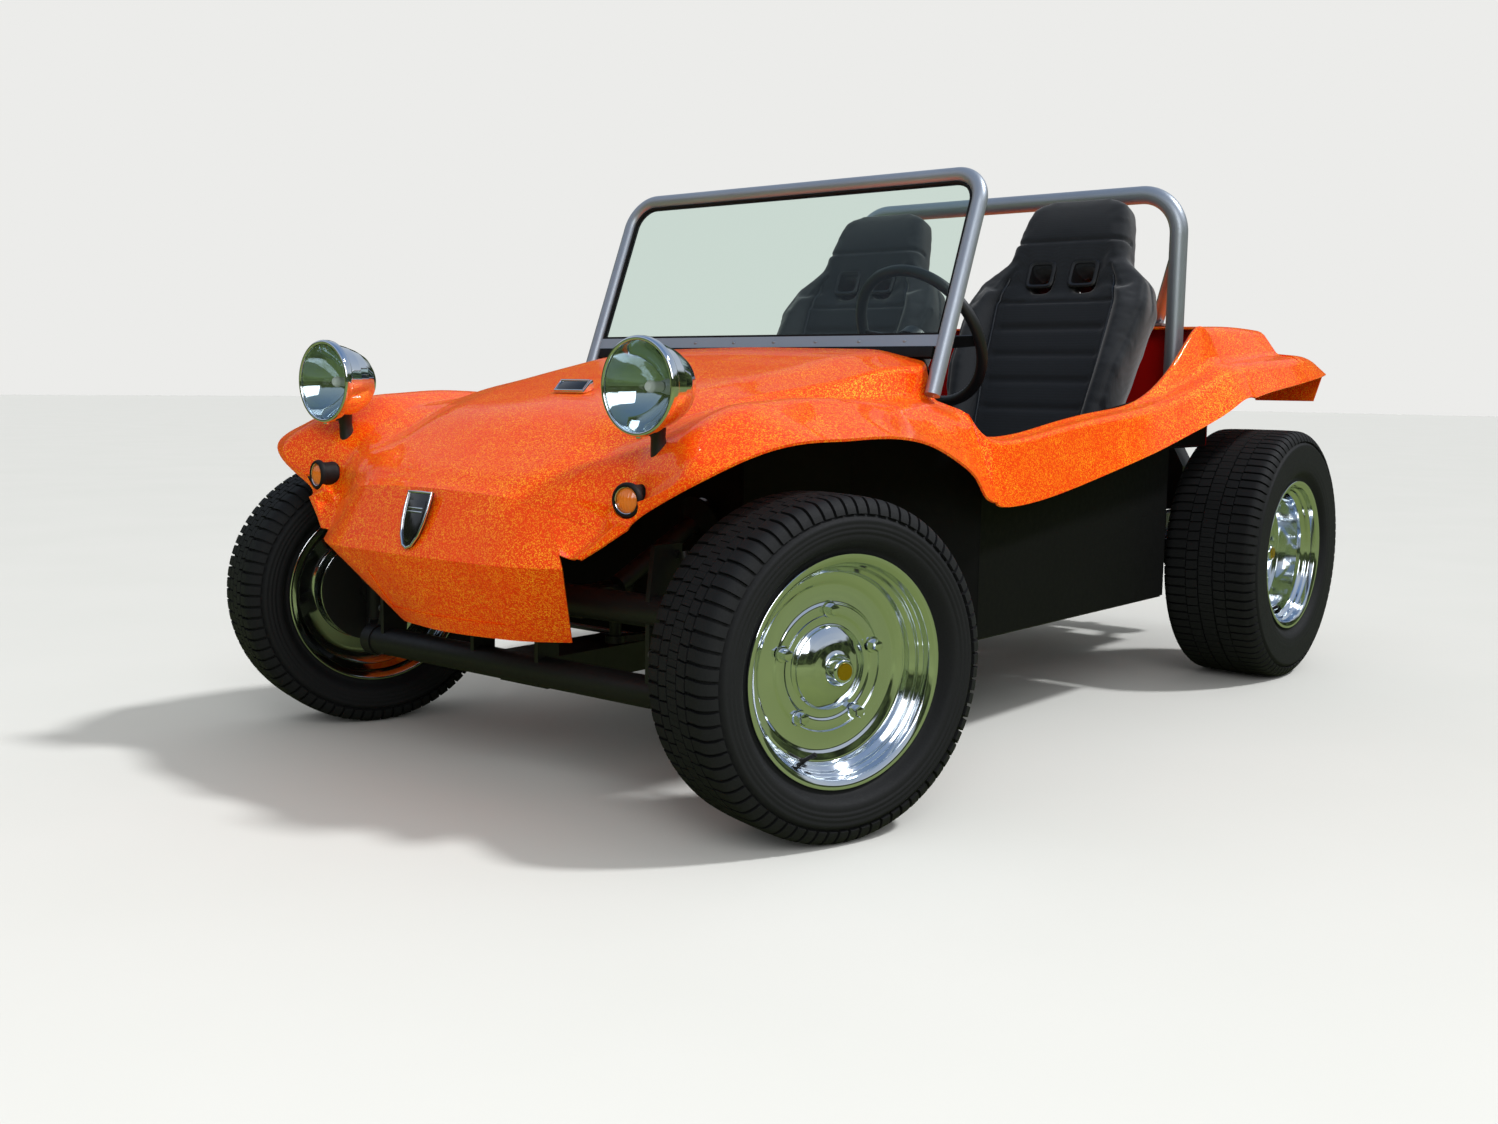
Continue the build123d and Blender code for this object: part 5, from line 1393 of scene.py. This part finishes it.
def makeControlTrim(look):
    place = turnFrame(at(*look["bootAt"]), (0, 0, 1))
    boot = turnedPiece("boot", place, look["boot"], "black_rubber", 48, rounded=0.002)
    ribs = []
    normal = Vector((-0.88, 0, 0.46)).normalized()
    upPedal, half = Vector((0.038, 0, 0.072)).normalized(), Vector((0, 0.021, 0))
    for y in look["pedals"]:
        for k in range(look["ribs"]):
            low = at(-0.3, y, 0.33) + upPedal * look["ribPitch"] * (k + 1) + normal * 0.0078
            high = low + upPedal * look["ribPitch"] / 2
            rib = [low - half, low + half, high + half, high - half]
            ribs.append(slabPiece("rib", rib, normal * 0.003, "black_rubber", 0.0008))
    start, end = at(*look["gripFrom"]), at(*look["gripTo"])
    track = [start.lerp(end, k / 6) for k in range(7)]
    grip = tubePiece("grip", track, lambda t: look["grip"] + look["gripWave"] * math.cos(t * 18.8),
                     "black_rubber", 20)
    joinPieces("control_trim", [boot, grip] + ribs)


# Gives some of a node's faces a second look
def repaint(node, look, wanted):
    mesh = nodes[node].data
    mesh.materials.append(looks[look])
    for face in mesh.polygons:
        if wanted(face.center, face.normal):
            face.material_index = 1


# The shelf, the bulkhead and the wall behind it are red where they face the cockpit
def facesCockpit(centre, normal):
    x = centre.x - frontAxle
    wall = normal.x > 0.5 and (abs(x + 1.85) < 0.003 or abs(x + 1.596) < 0.003)
    return wall or (normal.z > 0.5 and abs(centre.z - 0.644) < 0.003)


# The lining's outer faces stand behind the black tub, so they are black
def facesOut(centre, normal):
    return normal.y * centre.y > 0 and abs(normal.y) > 0.5


makeGlazing(glazing)
makeBadge(badge)
makeHoodPlate(hoodPlate)
makeDeckSeal(deckSeal)
makeDeckJoint(deckJoint)
makeGauges(gauges)
makeWheelTrim(steeringWheel)
makeColumnCollar(columnCollar)
makeLiningTrim(liningTrim)
makeBodyBolts(bodyBolts)
makeEngineTrim(engineAt)
makeControlTrim(controls)
repaint("tub", "red_lining", facesCockpit)
repaint("interior_panels", "black_shell", facesOut)
print("trims done")

# Camera fitted to the photograph
cameraFit = {"place": (3.1909, 2.1914, 0.7874), "yaw": 219.3803, "pitch": -6.83558, "roll": 0.80237,
             "lens": 35.317}


def makeCamera(fit):
    yaw, pitch, roll = (math.radians(fit[k]) for k in ("yaw", "pitch", "roll"))
    ahead = Vector((math.cos(pitch) * math.cos(yaw), math.cos(pitch) * math.sin(yaw), math.sin(pitch)))
    right = Vector((math.sin(yaw), -math.cos(yaw), 0))
    up = right.cross(ahead)
    rolledRight = right * math.cos(roll) + up * math.sin(roll)
    rolledUp = up * math.cos(roll) - right * math.sin(roll)
    data = bpy.data.cameras.new("photoCamera")
    data.sensor_width = 36
    data.lens = fit["lens"]
    data.clip_start = 0.05
    data.clip_end = 200
    camera = newObject("photoCamera", data)
    camera.matrix_world = Matrix((rolledRight, rolledUp, -ahead)).transposed().to_4x4()
    camera.location = fit["place"]
    bpy.context.scene.camera = camera


# Floor, light and what shiny things reflect
studio = {
    "floor": "#d4d4d1", "floorDark": "#cecfcb", "floorSize": 60, "horizon": "#ececea",
    "back": "#f3f4f4", "backPower": 0.7, "sunPower": 2.4, "sunTilt": 38, "sunTurn": 215, "sunSoftness": 6,
    "lawn": "#74824a", "lawnDark": "#5d6b3c", "hedgeLow": "#23291d", "hedgeHigh": "#59683f",
    "skyLow": "#dfe6ee", "skyTop": "#7f9fcd", "mirrorPower": 0.75,
    "lampPlace": (4.5, 4.0, 3.5), "lampTarget": (0, 0, 0.5), "lampSize": 3.0, "lampPower": 120,
}


# The floor is pale, and only shiny things see it as the lawn that the car stood on
def makeFloor(look):
    material, tree, shader, place = newMaterial("floorLook")
    cloud = addNode(tree, "ShaderNodeTexNoise", {"Vector": place, "Scale": 1.5, "Detail": 4.0})
    pale, grass = (
        addNode(tree, "ShaderNodeMix", {0: cloud, 6: colour(look[a]), 7: colour(look[b])}, data_type="RGBA")
        for a, b in (("floorDark", "floor"), ("lawnDark", "lawn")))
    glossy = addNode(tree, "ShaderNodeLightPath").outputs["Is Glossy Ray"]
    shown = addNode(tree, "ShaderNodeMix", {0: glossy, 6: pale, 7: grass}, data_type="RGBA")
    setInputs(tree, shader, {"Base Color": shown, "Roughness": 0.85, "Specular IOR Level": 0.1})
    size = look["floorSize"]
    mesh = bpy.data.meshes.new("floor")
    corners = [(-size, -size, 0), (size, -size, 0), (size, size, 0), (-size, size, 0)]
    mesh.from_pydata(corners, [], [(0, 1, 2, 3)])
    mesh.materials.append(material)
    newObject("floor", mesh)


# The camera sees a plain horizon, the light comes from a plain sky, and shiny things see a garden
def makeWorld(look):
    world = bpy.data.worlds.new("studio")
    bpy.context.scene.world = world
    world.use_nodes = True
    tree = world.node_tree
    tree.nodes.clear()
    place = addNode(tree, "ShaderNodeTexCoord").outputs["Generated"]
    up = addNode(tree, "ShaderNodeSeparateXYZ", {"Vector": place}).outputs["Z"]
    keys = ("lawn", "hedgeLow", "hedgeHigh", "skyLow", "skyTop", "back", "horizon")
    lawn, low, high, skyLow, skyTop, back, horizon = (colour(look[key]) for key in keys)
    leaves = addNode(tree, "ShaderNodeTexNoise", {
        "Vector": place, "Scale": 9.0, "Detail": 6.0, "Roughness": 0.7})
    hedge = addNode(tree, "ShaderNodeValToRGB", {"Fac": leaves}, [(0.42, low), (0.62, high)])
    ragged = addNode(tree, "ShaderNodeMath", {0: leaves, 1: 0.16, 2: -0.08}, operation="MULTIPLY_ADD")
    edge = addNode(tree, "ShaderNodeMath", {0: up, 1: ragged}, operation="ADD")
    isSky = addNode(tree, "ShaderNodeValToRGB", {"Fac": edge}, [(0.3, black), (0.36, white)])
    isLawn = addNode(tree, "ShaderNodeValToRGB", {"Fac": up}, [(0.0, white), (0.01, black)])
    rise = addNode(tree, "ShaderNodeMath", {0: up, 1: 1.6, 2: -0.5}, operation="MULTIPLY_ADD")
    sky = addNode(tree, "ShaderNodeMix", {0: rise, 6: skyLow, 7: skyTop}, data_type="RGBA")
    above = addNode(tree, "ShaderNodeMix", {0: isSky, 6: hedge, 7: sky}, data_type="RGBA")
    garden = addNode(tree, "ShaderNodeMix", {0: isLawn, 6: above, 7: lawn}, data_type="RGBA")
    soft, mirrored, plain = (
        addNode(tree, "ShaderNodeBackground", {"Color": tint, "Strength": power})
        for tint, power in ((back, look["backPower"]), (garden, look["mirrorPower"]), (horizon, 1.0)))
    path = addNode(tree, "ShaderNodeLightPath").outputs
    lit = addNode(tree, "ShaderNodeMixShader", {0: path["Is Glossy Ray"], 1: soft, 2: mirrored})
    shown = addNode(tree, "ShaderNodeMixShader", {0: path["Is Camera Ray"], 1: lit, 2: plain})
    addNode(tree, "ShaderNodeOutputWorld", {"Surface": shown})


def makeLights(look):
    sun = bpy.data.lights.new("sun", "SUN")
    sun.energy = look["sunPower"]
    sun.angle = math.radians(look["sunSoftness"])
    newObject("sun", sun).rotation_euler = (math.radians(look["sunTilt"]), 0, math.radians(look["sunTurn"]))
    soft = bpy.data.lights.new("softFront", "AREA")
    soft.energy = look["lampPower"]
    soft.size = look["lampSize"]
    light = newObject("softFront", soft)
    light.location = look["lampPlace"]
    light.rotation_mode = "QUATERNION"
    aim = Vector(look["lampTarget"]) - Vector(look["lampPlace"])
    light.rotation_quaternion = aim.to_track_quat("-Z", "Y")


makeCamera(cameraFit)
makeFloor(studio)
makeWorld(studio)
makeLights(studio)
bpy.context.scene.view_settings.view_transform = "Standard"
print("studio done")
